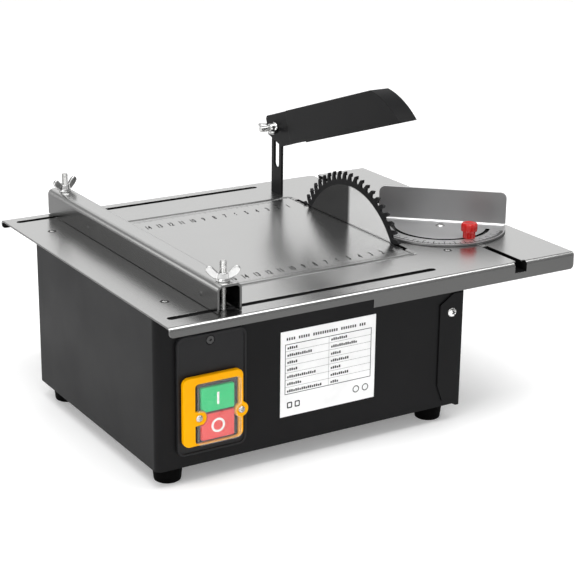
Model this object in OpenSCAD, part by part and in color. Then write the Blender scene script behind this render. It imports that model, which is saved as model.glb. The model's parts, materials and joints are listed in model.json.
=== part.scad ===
// Benchtop table saw with a sheet-steel body, a stainless table, a sliding rip fence,
// a miter gauge, a tilting blade guard and a belt-driven blade.
// Millimetres, +Z up. The origin is on the floor, under the middle of the table.
// Every module below is drawn from the table's front left corner on its top face:
// X to the right, Y to the back, Z up. on_table() moves that corner to its place.

/* [Table] */
// Width of the table, left to right
table_w = 348; // [345:1:360]
// Depth of the table, front to back
table_d = 294; // [292:1:300]
// Thickness of the table's sheet
sheet_t = 1.2; // [1:0.1:1.5]
// Depth of the front lip at its left part, and of the rear lip
lip_short = 7; // [6:0.5:8]
// Depth of the front lip at its right part
lip_deep = 13.3; // [12:0.1:15]
// Where the front lip becomes deeper
lip_step_x = 163.5; // [155:0.5:175]
// Width of the miter slot under the table's sheet
miter_slot_w = 11; // [11:0.1:11.4]
// Width of the miter slot's mouth
miter_mouth_w = 5.4; // [5.2:0.1:8]
// Depth of the miter slot
miter_slot_depth = 8; // [8:0.1:9]

/* [Body] */
// Width of the body
body_w = 260; // [258:1:262]
// Depth of the body
body_d = 205; // [204:1:206]
// Height of the body, from its bottom edge to the table's top
body_h = 115; // [115:1:125]
// Thickness of the body's sheet
body_t = 1.2; // [1:0.1:1.3]
// Height of the rubber feet
foot_h = 14; // [12:1:20]

/* [Fence] */
// Middle of the rip fence, from the table's left edge
fence_x = 50.7; // [45:0.1:60]
// Width of the fence channel
fence_w = 19; // [18:0.5:20]
// Height of the fence channel
fence_h = 20; // [18:0.5:22]

/* [Miter gauge] */
// Angle of the miter gauge as stored, from square
miter_angle = 42; // [0:1:55]
// Radius of the protractor plate
protractor_r = 52; // [51:0.5:52]
// Height of the miter gauge's upright face
upright_h = 28; // [20:1:28]

/* [Guard] */
// Upward tilt of the blade guard as stored
guard_tilt = 18; // [5:1:40]
// Height of the guard's bolt above the table
guard_bolt_z = 56.9; // [50:0.1:58]
// Length of the guard hood, from its bolt to its nose
guard_len = 189; // [187:1:190]

/* [Blade and drive] */
// Diameter of the saw blade
blade_d = 160; // [156:1:160]
// Number of teeth
blade_teeth = 60; // [40:2:80]
// Height of the blade above the table
cut_height = 42.4; // [42:0.1:43]
// Radius of the arbor pulley
arbor_pulley_r = 18; // [16:0.5:20]
// Radius of the motor pulley
motor_pulley_r = 12; // [10:0.5:14]

/* [Hidden] */
$fn = 64;

eps = 1;                                  // how far a cut runs past a face
run_gap = 0.05;                           // radial clearance of a turning shaft
face_gap = 0.1;                           // gap between faces that slide on each other
table_h = body_h + foot_h;
stainless = "lightgray";
black_paint = [0.13, 0.13, 0.14];
dark_plastic = [0.2, 0.2, 0.21];
steel = "silver";

// Table
bend_r = 3;                               // outside radius of the lips' bends
table_screw_x = [23, 266];
table_screw_y = [51.5, 245];
table_screw_r = 2;
table_head_r = 3.3;                        // countersunk, so that the fence slides over it
table_head_rise = 0.2;
table_head_sink = 0.6;
fence_slot_y = [18.4, 281];
fence_slot_x = [8, 230];
fence_slot_w = 5.6;
miter_x = 296.5;
notch_y = 3.6;                            // reach of the slot's full-width notch in each lip
insert_lo = [78.5, 55.5];                 // the opening for the insert plate
insert_hi = [238.6, 239.5];
insert_gap = 0.4;
insert_r = 3;
edge_in = 2.3;                            // width of the sloped edges round the insert plate
edge_drop = 0.75;
ledge_t = 1.2;

// Body
body_lo = [1, 24];
body_hi = [body_lo[0] + body_w, body_lo[1] + body_d];
body_z = -body_h;
body_r = 5;
tab_z = -2 * sheet_t;                     // underside of the tabs that meet the table
panel_in = body_hi[0] - body_t;           // inside face of the side panel
panel_lap = 21;                           // how far the side panel laps round the corners
panel_screw_z = -39;
foot_inset = 16.5;
foot_r_top = 11.2;
foot_r_low = 9.8;
gland_x = 40;
gland_z = -94;
gland_bore_r = 3.5;

// Switch
plate_lo = [16, -105.5];                  // switch plate, X and Z
plate_hi = [71, -17];
plate_t = 3;
plate_screw = [42.6, -22.4];
flange_lo = [19, -98];
flange_hi = [66.6, -46.5];
flange_t = 3.5;
window_lo = [28.5, -96.9];
window_hi = [63, -52];
ear_x = [31.4, 65.1];
ear_z = -77.5;
ear_r = [6, 5.6];
housing_lo = [28.9, -96.5];
housing_hi = [62.6, -52.4];
housing_back = 34;                        // depth of the housing behind the body's front
button_x = [32.8, 59];
start_z = [-73.8, -55.4];
stop_z = [-94.8, -75.2];
button_gap = 0.2;
button_len = 10;
plate_y = body_lo[1] - plate_t;           // front faces, going forward
flange_y = plate_y - flange_t;
button_y = flange_y - 0.5;
pocket_depth = 14;                        // from the buttons' front faces

// Fence
fence_t = 1.5;
fence_bend_r = 4.5;
fence_end_gap = 9;                        // from the table's front edge
fence_lift = 0.3;                         // gap between the fence and the table
stud_r = 2.5;
stud_top = 35;
wing_h = 10.8;
wing_reach = 9.3;
wing_tip_r = 2.8;

// Miter gauge
bar_w = 10.5;
bar_y = [45, 165];
pivot_y = 103.3;
lock_r = 38.2;                            // from the pivot to the lock stud
chord_y = 13;                             // from the pivot to the upright's face
upright_half = 51.2;
plate_z = 0.3;
miter_t = 1.5;
pivot_r = 2;
lock_stud_r = 1.5;
arc_slot_half = 1.7;

// Guard
post_x = [236.5, 238.5];
post_y = 258.4;
post_w = 16;
post_top = 66;
post_foot = 20;
post_slot_z = [26, 59.4];
post_slot_r = 4;
hood_x = [232, 248.5];
hood_t = 1.2;
hood_w = [-16.8, 11.5];                   // below and above the bolt
hood_rear = 26;                           // from the bolt to the hood's open rear end
ear_x_guard = [235, 236.4];
nose_c = [125.3, -56.5];                  // middle of the nose's curve
nose_r = 75;

// Blade and drive, along X
blade_x = 239.1;
blade_t = 1.6;
kerf = 2.6;
blade_y = 146;
blade_r = blade_d / 2;
axis_z = cut_height - blade_r;
arbor_r = 6;
flange_r = 20;
flange_w = 4;
tooth_depth = 7;
blade_slot_x = [blade_x - 1.6, blade_x + 2.4];
blade_slot_y = [70, 230];
housing_x = [196, 226];
housing_r = 20;
arbor_bearing_r = 14;
arbor_bearing_w = 8;
pulley_x = [176, 190];
plate_x = [192, 196];
motor_y = 86;
motor_z = -72;
motor_r = 38;
motor_shaft_r = 4;
can_x = [80, 153];
front_bell_x = [153, 165];
rear_bell_x = [68, 80];
motor_bearing_r = 11;
motor_bearing_w = 7;
bracket_x = [165, 169];
floor_z = body_z + body_t;                // top of the bottom plate
belt_t = 2;
belt_w = 10;

// ---------------------------------------------------------------- helpers

module on_table() {
    translate([-table_w / 2, -table_d / 2, table_h]) children();
}

// A box from its low corner to its high corner
module block(lo, hi) {
    translate(lo) cube(hi - lo);
}

// A cylinder along X from x0 to x1
module rod_x(x0, x1, r, y = 0, z = 0) {
    translate([x0, y, z]) rotate([0, 90, 0]) cylinder(r = r, h = x1 - x0);
}

// A flat outline drawn in Y and Z, made solid from x0 to x1
module slab_x(x0, x1) {
    translate([x0, 0, 0]) rotate([90, 0, 90]) linear_extrude(x1 - x0) children();
}

// A flat outline drawn in X and Z, made solid from y0 to y1
module slab_y(y0, y1) {
    translate([0, y1, 0]) rotate([90, 0, 0]) linear_extrude(y1 - y0) children();
}

// A rectangle with round corners, from its low corner to its high corner
module rounded_rect(lo, hi, r) {
    translate([lo[0] + r, lo[1]]) square([hi[0] - lo[0] - 2 * r, hi[1] - lo[1]]);
    translate([lo[0], lo[1] + r]) square([hi[0] - lo[0], hi[1] - lo[1] - 2 * r]);
    for (x = [lo[0] + r, hi[0] - r], y = [lo[1] + r, hi[1] - r])
        translate([x, y]) circle(r);
}

// A slot with round ends along X
module slot_x(x0, x1, y, half) {
    translate([x0 + half, y - half]) square([x1 - x0 - 2 * half, 2 * half]);
    for (x = [x0 + half, x1 - half])
        translate([x, y]) circle(half);
}

// A wing nut standing on Z = 0, with its wings along X
module wing_nut() {
    difference() {
        union() {
            cylinder(r1 = 5, r2 = 3.7, h = 6.2);
            for (side = [0, 180])
                rotate([0, 0, side]) slab_y(-1.3, 1.3) {
                    polygon([[3, 0.8], [6.4, 1.6], [11.6, 6.6], [7.2, 10], [3.4, 5.6]]);
                    translate([wing_reach, wing_h - wing_tip_r]) circle(wing_tip_r);
                }
        }
        translate([0, 0, -eps]) cylinder(r = stud_r + run_gap, h = wing_h + 2 * eps);
    }
}

// A domed screw head with a cross recess, standing on Z = 0
module domed_head(r, h) {
    ball_r = (r * r + h * h) / (2 * h);
    difference() {
        intersection() {
            translate([0, 0, h - ball_r]) sphere(ball_r);
            cylinder(r = r, h = h);
        }
        for (turn = [0, 90])
            rotate([0, 0, turn])
                block([-r * 0.5, -r * 0.12, h * 0.5], [r * 0.5, r * 0.12, h + eps]);
    }
}

// ---------------------------------------------------------------- table

// The bent sheet's section in Y and Z, with a front lip of the given depth
module table_section(front_lip) {
    translate([bend_r, -sheet_t]) square([table_d - 2 * bend_r, sheet_t]);
    translate([0, -front_lip]) square([sheet_t, front_lip - bend_r]);
    translate([table_d - sheet_t, -lip_short]) square([sheet_t, lip_short - bend_r]);
    lip_bend();
    translate([table_d, 0]) mirror([1, 0]) lip_bend();
}

module lip_bend() {
    intersection() {
        translate([bend_r, -bend_r]) difference() {
            circle(bend_r);
            circle(bend_r - sheet_t);
        }
        translate([0, -bend_r]) square(bend_r);
    }
}

module miter_groove_walls() {
    wall_x = [miter_x - miter_slot_w / 2 - sheet_t, miter_x + miter_slot_w / 2 + sheet_t];
    low_z = -miter_slot_depth - sheet_t;
    block([wall_x[0], bend_r, low_z], [wall_x[1], table_d - bend_r, 0]);
    block([wall_x[0], sheet_t / 2, low_z], [wall_x[1], table_d - sheet_t / 2, -bend_r]);
}

// What is cut off a lip's two lower corners, in X and Z
module lip_corners(depth, x0, x1) {
    r = 3;
    for (end = [[x0, 1], [x1, -1]]) translate([end[0], -depth]) scale([end[1], 1]) difference() {
        translate([-eps, -eps]) square(r + eps);
        translate([r, r]) circle(r);
    }
}

module table_openings() {
    slab_y(-eps, 2 * sheet_t) {
        lip_corners(lip_short, 0, table_w + 2 * lip_deep);
        lip_corners(lip_deep, lip_step_x - 2 * lip_deep, table_w);
    }
    slab_y(table_d - 2 * sheet_t, table_d + eps) lip_corners(lip_short, 0, table_w);
    translate([0, 0, -sheet_t - eps]) linear_extrude(sheet_t + 2 * eps) {
        rounded_rect(insert_lo, insert_hi, insert_r);
        translate([blade_slot_x[0], blade_slot_y[0]])
            square([blade_slot_x[1] - blade_slot_x[0], blade_slot_y[1] - blade_slot_y[0]]);
        for (y = fence_slot_y) slot_x(fence_slot_x[0], fence_slot_x[1], y, fence_slot_w / 2);
        translate([post_x[0] - 0.3, post_y - post_w / 2 - 0.4])
            square([post_x[1] - post_x[0] + 0.6, post_w + 0.8]);
    }
    for (x = table_screw_x, y = table_screw_y) translate([x, y, -sheet_t])
        cylinder(r1 = table_screw_r, r2 = table_head_r + 0.05, h = sheet_t);
    for (x = table_screw_x, y = table_screw_y) translate([x, y, -sheet_t - eps])
        cylinder(r = table_screw_r + 0.1, h = sheet_t + 2 * eps);
    insert_rim();
    miter_slot();
}

// The sloped edge of the opening that the insert plate lies in
module insert_rim() {
    over = [edge_in, edge_in];
    hull() {
        translate([0, 0, -edge_drop]) linear_extrude(eps)
            rounded_rect(insert_lo, insert_hi, insert_r);
        linear_extrude(eps) rounded_rect(insert_lo - over, insert_hi + over, insert_r + edge_in);
    }
}

// A T slot along Y, open to its full width where it passes the lips
module miter_slot() {
    mouth = miter_mouth_w / 2;
    inner = miter_slot_w / 2;
    block([miter_x - mouth, -eps, -miter_slot_depth], [miter_x + mouth, table_d + eps, eps]);
    block([miter_x - inner, -eps, -miter_slot_depth], [miter_x + inner, table_d + eps, -sheet_t]);
    for (y = [-eps, table_d - notch_y])
        block([miter_x - inner, y, -miter_slot_depth], [miter_x + inner, y + notch_y + eps, eps]);
}

module table_top() {
    color(stainless) on_table() difference() {
        union() {
            slab_x(0, lip_step_x) table_section(lip_short);
            slab_x(lip_step_x, table_w) table_section(lip_deep);
            miter_groove_walls();
        }
        table_openings();
    }
}

module insert_plate() {
    lo = insert_lo + [insert_gap, insert_gap];
    hi = insert_hi - [insert_gap, insert_gap];
    r = insert_r - insert_gap;
    inside = [edge_in, edge_in];
    color(stainless) on_table() difference() {
        translate([0, 0, -sheet_t]) hull() {
            linear_extrude(sheet_t - edge_drop) rounded_rect(lo, hi, r);
            linear_extrude(sheet_t) rounded_rect(lo + inside, hi - inside, r - edge_in);
        }
        block([blade_slot_x[0], blade_slot_y[0], -sheet_t - eps],
            [blade_slot_x[1], blade_slot_y[1], eps]);
    }
}

// The welded ledge that carries the insert plate
module insert_frame() {
    over = [8, 4];
    under = [8, 8];
    color(stainless) on_table() difference() {
        block([insert_lo[0] - over[0], insert_lo[1] - over[1], -sheet_t - ledge_t],
            [insert_hi[0] + over[0], insert_hi[1] + over[1], -sheet_t]);
        block([insert_lo[0] + under[0], insert_lo[1] + under[1], -sheet_t - ledge_t - eps],
            [insert_hi[0] - under[0], insert_hi[1] - under[1], 0]);
        block([blade_slot_x[0] - 0.4, blade_slot_y[0] - 1, -sheet_t - ledge_t - eps],
            [blade_slot_x[1] + 0.4, blade_slot_y[1] + 1, 0]);
    }
}

module table_screws() {
    head_r = table_head_r - 0.7;
    color(steel) on_table()
        for (x = table_screw_x, y = table_screw_y) translate([x, y, 0]) {
            translate([0, 0, -sheet_t])
                cylinder(r1 = table_screw_r, r2 = head_r, h = sheet_t - table_head_sink);
            translate([0, 0, -table_head_sink]) domed_head(head_r, table_head_sink + table_head_rise);
            translate([0, 0, -9]) cylinder(r = table_screw_r, h = 9 - sheet_t);
        }
}

module table_nuts() {
    color(steel) on_table()
        for (x = table_screw_x, y = table_screw_y) translate([x, y, tab_z - 3.2]) difference() {
            cylinder(r = 4, h = 3.2, $fn = 6);
            translate([0, 0, -eps]) cylinder(r = table_screw_r, h = 3.2 + 2 * eps);
        }
}

// ---------------------------------------------------------------- body

module vent_rows() {
    for (row = [0, 1], i = [0:5])
        slab_y(body_hi[1] - body_t - eps, body_hi[1] + eps)
            slot_x(92 + row * 34, 120 + row * 34, -40 - i * 9, 1.5);
}

module body_shell() {
    color(black_paint) on_table() difference() {
        translate([0, 0, body_z]) linear_extrude(body_h - sheet_t) difference() {
            rounded_rect(body_lo, body_hi + [2 * body_r, 0], body_r);
            rounded_rect(body_lo + [body_t, body_t], body_hi + [3 * body_r, -body_t],
                body_r - body_t);
        }
        block([panel_in, 0, body_z - eps], [table_w, table_d, eps]);
        block([insert_lo[0] - 9, body_hi[1] - 10, tab_z - 0.2],
            [insert_hi[0] + 9, body_hi[1] + eps, eps]);
        block([housing_lo[0] - 0.3, 0, housing_lo[1] - 0.3],
            [housing_hi[0] + 0.3, body_lo[1] + 10, housing_hi[1] + 0.3]);
        for (x = ear_x) slab_y(0, body_lo[1] + 10) translate([x, ear_z]) circle(1.6);
        slab_y(0, body_lo[1] + 10) translate(plate_screw) circle(1.6);
        slab_y(body_hi[1] - 10, table_d) translate([gland_x, gland_z]) circle(6);
        for (y = [0, body_hi[1] - 10])
            slab_y(y, y + 36) translate([body_hi[0] - 10, panel_screw_z]) circle(2);
        vent_rows();
    }
}

// The welded tabs that the table is screwed to at its left
module shell_tabs() {
    x = [8, 38];
    color(black_paint) on_table() difference() {
        union() {
            block([x[0], body_lo[1] + body_t, tab_z], [x[1], body_lo[1] + 40, -sheet_t]);
            block([x[0], body_hi[1], tab_z], [x[1], body_hi[1] + 26, -sheet_t]);
        }
        for (y = table_screw_y)
            translate([table_screw_x[0], y, tab_z - eps]) cylinder(r = table_screw_r + 0.2, h = 4);
    }
}

// One flange of the side panel, with its two cut-off corners, in X and Z
module panel_flange() {
    x0 = body_hi[0] - panel_lap;
    low = body_z - body_t;
    difference() {
        polygon([[panel_in, -24], [x0 + 12, -24], [x0, -32], [x0, -97], [x0 + 5, -110],
            [x0 + 10, -112], [x0 + 18, low], [panel_in, low]]);
        translate([body_hi[0] - 10, panel_screw_z]) circle(2);
    }
}

module side_panel() {
    outer = 12;                           // the top flange's reach under the table
    color(black_paint) on_table() difference() {
        union() {
            block([panel_in, body_lo[1] - body_t, body_z - body_t],
                [body_hi[0], body_hi[1] + body_t, -sheet_t]);
            slab_y(body_lo[1] - body_t, body_lo[1]) panel_flange();
            slab_y(body_hi[1], body_hi[1] + body_t) panel_flange();
            block([panel_in, 40, tab_z], [body_hi[0] + outer, 255, -sheet_t]);
        }
        for (y = table_screw_y)
            translate([table_screw_x[1], y, tab_z - eps]) cylinder(r = table_screw_r + 0.2, h = 4);
    }
}

module panel_screws() {
    at_x = body_hi[0] - 10;
    color(steel) on_table() {
        translate([at_x, body_lo[1] - body_t, panel_screw_z]) rotate([90, 0, 0]) domed_head(3.8, 2.4);
        translate([at_x, body_lo[1] + 6, panel_screw_z]) rotate([90, 0, 0]) cylinder(r = 2, h = 7.2);
        translate([at_x, body_hi[1] + body_t, panel_screw_z]) rotate([-90, 0, 0]) domed_head(3.8, 2.4);
        translate([at_x, body_hi[1] - 6, panel_screw_z]) rotate([-90, 0, 0]) cylinder(r = 2, h = 7.2);
    }
}

function foot_places() = [for (x = [body_lo[0] + foot_inset, body_hi[0] - foot_inset],
    y = [body_lo[1] + foot_inset, body_hi[1] - foot_inset]) [x, y]];

module bottom_plate() {
    chip_slot = [18, 112];                // opening under the blade for the sawdust
    color(black_paint) on_table() difference() {
        translate([0, 0, body_z]) linear_extrude(body_t)
            rounded_rect(body_lo + [body_t, body_t], [panel_in, body_hi[1] - body_t], body_r);
        translate([0, 0, body_z - eps]) linear_extrude(body_t + 2 * eps) {
            translate([blade_x - chip_slot[0] / 2, blade_y - chip_slot[1] / 2]) square(chip_slot);
            for (p = foot_places()) translate(p) circle(2.2);
            for (p = bracket_screw_places()) translate(p) circle(2.1);
        }
    }
}

module feet() {
    color([0.07, 0.07, 0.07]) on_table()
        for (p = foot_places()) translate([p[0], p[1], body_z - foot_h]) difference() {
            cylinder(r1 = foot_r_low, r2 = foot_r_top, h = foot_h);
            translate([0, 0, -eps]) cylinder(r = 4.6, h = 8 + eps);
            cylinder(r = 2.2, h = foot_h + eps);
        }
}

module foot_screws() {
    seat = foot_h - 8;
    color(steel) on_table()
        for (p = foot_places()) translate([p[0], p[1], body_z - seat]) {
            cylinder(r = 2, h = seat + 8);
            rotate([180, 0, 0]) domed_head(4, 2.4);
            translate([0, 0, seat + body_t]) cylinder(r = 4, h = 3.2, $fn = 6);
        }
}

// The grommet that the supply lead leaves through
module cable_gland() {
    in_y = body_hi[1] - 8;
    color(dark_plastic) on_table() translate([gland_x, 0, gland_z]) difference() {
        union() {
            slab_y(in_y, body_hi[1]) circle(5.95);
            slab_y(body_hi[1], body_hi[1] + 4) circle(9);
            slab_y(body_hi[1] + 4, body_hi[1] + 11) circle(6.5);
            slab_y(in_y - 3, body_hi[1] - body_t - 0.2) circle(8);
        }
        slab_y(in_y - 4, body_hi[1] + 12) circle(gland_bore_r);
    }
}

module rating_label() {
    color("white") on_table()
        block([100.5, body_lo[1] - 0.25, -94], [182, body_lo[1], -28.5]);
}

// ---------------------------------------------------------------- switch

module housing_opening(gap) {
    translate(housing_lo - [gap, gap]) square(housing_hi - housing_lo + [2 * gap, 2 * gap]);
}

module switch_plate() {
    rim = 1.6;
    color(dark_plastic) on_table() difference() {
        slab_y(plate_y, body_lo[1]) rounded_rect(plate_lo, plate_hi, 6);
        slab_y(plate_y - eps, plate_y + 0.5)
            rounded_rect(plate_lo + [rim, rim], plate_hi - [rim, rim], 6 - rim);
        slab_y(plate_y - eps, body_lo[1] + eps) {
            housing_opening(0.2);
            translate(plate_screw) circle(1.7);
            for (x = ear_x) translate([x, ear_z]) circle(1.6);
        }
        translate([plate_screw[0], plate_y + 0.4, plate_screw[1]]) rotate([-90, 0, 0])
            cylinder(r1 = 3.6, r2 = 1.7, h = 1.9);
    }
}

module switch_plate_screw() {
    color("dimgray") on_table() translate([plate_screw[0], plate_y + 0.9, plate_screw[1]])
        rotate([-90, 0, 0]) difference() {
            union() {
                cylinder(r1 = 3, r2 = 1.5, h = 1.5);
                cylinder(r = 1.5, h = 9);
            }
            translate([0, 0, -eps]) cylinder(r = 1.2, h = 1.8, $fn = 6);
        }
}

module switch_flange() {
    floor_y = plate_y + 0.5;              // it stands on the plate's sunk face
    color("orange") on_table() difference() {
        union() {
            slab_y(flange_y, floor_y) difference() {
                rounded_rect(flange_lo, flange_hi, 5);
                rounded_rect(window_lo, window_hi, 2.5);
            }
            for (i = [0, 1]) slab_y(flange_y, plate_y)
                translate([ear_x[i], ear_z]) circle(ear_r[i]);
        }
        slab_y(flange_y + 1.6, floor_y + eps) housing_opening(0.15);
        for (x = ear_x) slab_y(flange_y - eps, floor_y + eps) translate([x, ear_z]) circle(1.6);
    }
}

module switch_flange_screws() {
    color(steel) on_table()
        for (x = ear_x) translate([x, flange_y, ear_z]) {
            rotate([90, 0, 0]) domed_head(2.7, 1.8);
            slab_y(0, 14) circle(1.5);
        }
}

module switch_housing() {
    front = flange_y + 1.8;
    color([0.12, 0.12, 0.12]) on_table() difference() {
        block([housing_lo[0], front, housing_lo[1]],
            [housing_hi[0], body_lo[1] + housing_back, housing_hi[1]]);
        slab_y(front - eps, button_y + pocket_depth) difference() {
            for (z = [start_z, stop_z]) translate([button_x[0] - button_gap, z[0] - button_gap])
                square([button_x[1] - button_x[0], z[1] - z[0]] + [2 * button_gap, 2 * button_gap]);
            for (x = ear_x) translate([x, ear_z]) circle(3);
        }
        for (x = ear_x) slab_y(front - eps, flange_y + 16) translate([x, ear_z]) circle(1.5);
    }
}

// The clear cover over both buttons
module switch_cover() {
    lo = window_lo + [2.2, 0.9];
    hi = window_hi - [1, 0.9];
    front = flange_y - 2.2;
    color([0.9, 0.95, 1, 0.3]) on_table() difference() {
        slab_y(front, flange_y) difference() {
            rounded_rect(lo - [1.4, 1.6], hi + [2.2, 1.6], 3);
            for (i = [0, 1]) translate([ear_x[i], ear_z]) circle(ear_r[i] - 1);
        }
        slab_y(front + 0.8, flange_y + eps) difference() {
            rounded_rect(lo - [0.6, 0.8], hi + [1.4, 0.8], 2.2);
            for (i = [0, 1]) translate([ear_x[i], ear_z]) circle(ear_r[i] - 0.2);
        }
    }
}

module button_body(z) {
    difference() {
        block([button_x[0], button_y, z[0]], [button_x[1], button_y + button_len, z[1]]);
        slab_y(button_y + 2.5, button_y + button_len + eps)
            translate([(button_x[0] + button_x[1]) / 2, (z[0] + z[1]) / 2]) circle(5);
        for (i = [0, 1]) slab_y(button_y - eps, button_y + button_len + eps)
            translate([ear_x[i], ear_z]) circle(ear_r[i] + 0.3);
    }
}

module start_button() {
    color([0.1, 0.65, 0.35]) on_table() button_body(start_z);
}

module stop_button() {
    color([0.85, 0.2, 0.18]) on_table() button_body(stop_z);
}

// The return springs, at the length they have with the buttons pressed
module button_springs() {
    turns = 4;
    back = button_y + pocket_depth;
    color(steel) on_table()
        for (z = [start_z, stop_z])
            translate([(button_x[0] + button_x[1]) / 2, 0, (z[0] + z[1]) / 2])
                for (i = [0:turns - 1]) translate([0, back - 0.6 - i * 1.8, 0]) rotate([90, 0, 0])
                    rotate_extrude() translate([3.4, 0]) circle(0.6, $fn = 16);
}

module switch_terminals() {
    tab_y = body_lo[1] + housing_back;
    color("goldenrod") on_table()
        for (x = [37, 54], z = [-88, -61])
            block([x - 0.4, tab_y, z - 3], [x + 0.4, tab_y + 8, z + 3]);
}

// ---------------------------------------------------------------- rip fence

module fence_channel() {
    lo = [fence_x - fence_w / 2, fence_lift];
    hi = [fence_x + fence_w / 2, fence_lift + fence_h];
    color(stainless) on_table() difference() {
        slab_y(fence_end_gap, table_d) difference() {
            rounded_rect(lo - [0, 5], hi, fence_bend_r);
            rounded_rect(lo + [fence_t, -8], hi - [fence_t, fence_t], fence_bend_r - fence_t);
            translate([0, fence_lift - 20]) square([table_w, 20]);
        }
        for (y = fence_slot_y) translate([fence_x, y, 0]) cylinder(r = stud_r + 0.1, h = 30);
    }
}

module fence_studs() {
    head_z = -sheet_t - 2 * face_gap - 1.2;
    color(steel) on_table()
        for (y = fence_slot_y) translate([fence_x, y, 0]) {
            translate([0, 0, head_z]) cylinder(r = stud_r, h = stud_top - head_z);
            translate([0, 0, head_z - 3.5]) cylinder(r = 4.6, h = 3.5, $fn = 6);
        }
}

module fence_washers() {
    color(steel) on_table()
        for (y = fence_slot_y) translate([fence_x, y, -sheet_t - face_gap - 1.2]) difference() {
            cylinder(r = 5.2, h = 1.2);
            translate([0, 0, -eps]) cylinder(r = stud_r + 0.1, h = 4);
        }
}

module fence_nut(y, turn) {
    color(steel) on_table()
        translate([fence_x, y, fence_lift + fence_h + face_gap]) rotate([0, 0, turn]) wing_nut();
}

module fence_nut_front() {
    fence_nut(fence_slot_y[0], -24);
}

module fence_nut_rear() {
    fence_nut(fence_slot_y[1], 18);
}

// ---------------------------------------------------------------- miter gauge

module miter_bar() {
    neck = miter_mouth_w / 2 - 0.15;
    color(steel) on_table() difference() {
        union() {
            block([miter_x - bar_w / 2, bar_y[0], -miter_slot_depth + 0.4],
                [miter_x + bar_w / 2, bar_y[1], -sheet_t - 0.4]);
            block([miter_x - neck, bar_y[0], -sheet_t - 1],
                [miter_x + neck, bar_y[1], plate_z - 0.05]);
        }
        translate([miter_x, pivot_y, -5]) cylinder(r = pivot_r, h = 9);
        translate([miter_x, pivot_y - lock_r, -5]) cylinder(r = lock_stud_r, h = 9);
    }
}

// The flat protractor with its curved slot, about the pivot, the upright at +Y
module protractor() {
    end = [lock_r * cos(3), -lock_r * sin(3)];
    difference() {
        circle(protractor_r, $fn = 128);
        translate([-protractor_r, chord_y - 1]) square(2 * protractor_r);
        difference() {
            circle(lock_r + arc_slot_half, $fn = 96);
            circle(lock_r - arc_slot_half, $fn = 96);
            translate([-protractor_r, end[1]]) square(2 * protractor_r);
        }
        for (side = [-1, 1]) translate([side * end[0], end[1]]) circle(arc_slot_half);
        circle(pivot_r + run_gap);
    }
}

module miter_plate() {
    bend = miter_t + 1;
    color("gray") on_table() translate([miter_x, pivot_y, plate_z]) rotate([0, 0, -miter_angle]) {
        linear_extrude(miter_t) protractor();
        slab_x(-upright_half + 1, upright_half - 1) intersection() {
            translate([chord_y - 1, bend]) difference() {
                circle(bend);
                circle(1);
            }
            translate([chord_y - 1, 0]) square(bend);
        }
        slab_y(chord_y, chord_y + miter_t) {
            translate([-upright_half, bend]) square([2 * upright_half, upright_h - 5 - bend]);
            translate([5 - upright_half, bend]) square([2 * upright_half - 10, upright_h - bend]);
            for (side = [-1, 1])
                translate([side * (upright_half - 5), upright_h - 5]) circle(5);
        }
    }
}

module miter_pivot_screw() {
    color(steel) on_table() translate([miter_x, pivot_y, 0]) {
        translate([0, 0, plate_z + miter_t + face_gap]) domed_head(3.6, 1.5);
        translate([0, 0, -5]) cylinder(r = pivot_r, h = 5 + plate_z + miter_t + face_gap);
    }
}

module miter_lock_stud() {
    color(steel) on_table() translate([miter_x, pivot_y - lock_r, -5])
        cylinder(r = lock_stud_r, h = 16.5);
}

module miter_knob() {
    low = plate_z + miter_t + face_gap;
    color("red") on_table() translate([miter_x, pivot_y - lock_r, low]) difference() {
        union() {
            cylinder(r = 4.9, h = 5.4);
            translate([0, 0, 4.6]) cylinder(r1 = 4.9, r2 = 6.5, h = 1);
            translate([0, 0, 5.6]) cylinder(r = 6.5, h = 5.6);
            translate([0, 0, 11.2]) cylinder(r1 = 6.5, r2 = 5.4, h = 1);
        }
        for (i = [0:11]) rotate([0, 0, i * 30]) translate([5.3, 0, -eps]) cylinder(r = 0.8, h = 5);
        translate([0, 0, -eps]) cylinder(r = lock_stud_r + run_gap, h = 11);
    }
}

// ---------------------------------------------------------------- blade guard

module guard_post() {
    half = post_w / 2;
    color(black_paint) on_table() difference() {
        union() {
            slab_x(post_x[0], post_x[1])
                rounded_rect([post_y - half, tab_z - 8], [post_y + half, post_top], 4);
            block([post_x[0], post_y - half, -sheet_t - 2],
                [post_x[0] + post_foot, post_y + half, -sheet_t]);
        }
        block([0, 0, -20], [table_w, table_d, -sheet_t - 2]);
        slab_x(post_x[0] - eps, post_x[1] + eps) {
            translate([post_y - post_slot_r, post_slot_z[0]])
                square([2 * post_slot_r, post_slot_z[1] - post_slot_z[0]]);
            for (z = post_slot_z) translate([post_y, z]) circle(post_slot_r);
        }
        for (y = post_stud_y()) translate([post_stud_x(), y, -10]) cylinder(r = 2.2, h = 12);
    }
}

function post_stud_x() = post_x[0] + 12;
function post_stud_y() = [post_y - 4.5, post_y + 4.5];

// Weld studs under the table with their nuts, which hold the post's foot
module guard_post_nuts() {
    color(steel) on_table()
        for (y = post_stud_y()) translate([post_stud_x(), y, 0]) {
            translate([0, 0, -10]) cylinder(r = 2, h = 10 - sheet_t);
            translate([0, 0, -sheet_t - 5.2]) cylinder(r = 4, h = 3.2, $fn = 6);
        }
}

module at_guard_bolt(tilt) {
    translate([0, post_y, guard_bolt_z]) rotate([-tilt, 0, 0]) children();
}

module guard_bolt() {
    color(steel) on_table() at_guard_bolt(0) {
        rod_x(post_x[1] + face_gap, post_x[1] + face_gap + 2.6, 5);
        rod_x(post_x[0], post_x[1] + face_gap + eps, post_slot_r - face_gap);
        rod_x(220.5, post_x[1] + face_gap + eps, stud_r);
    }
}

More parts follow.
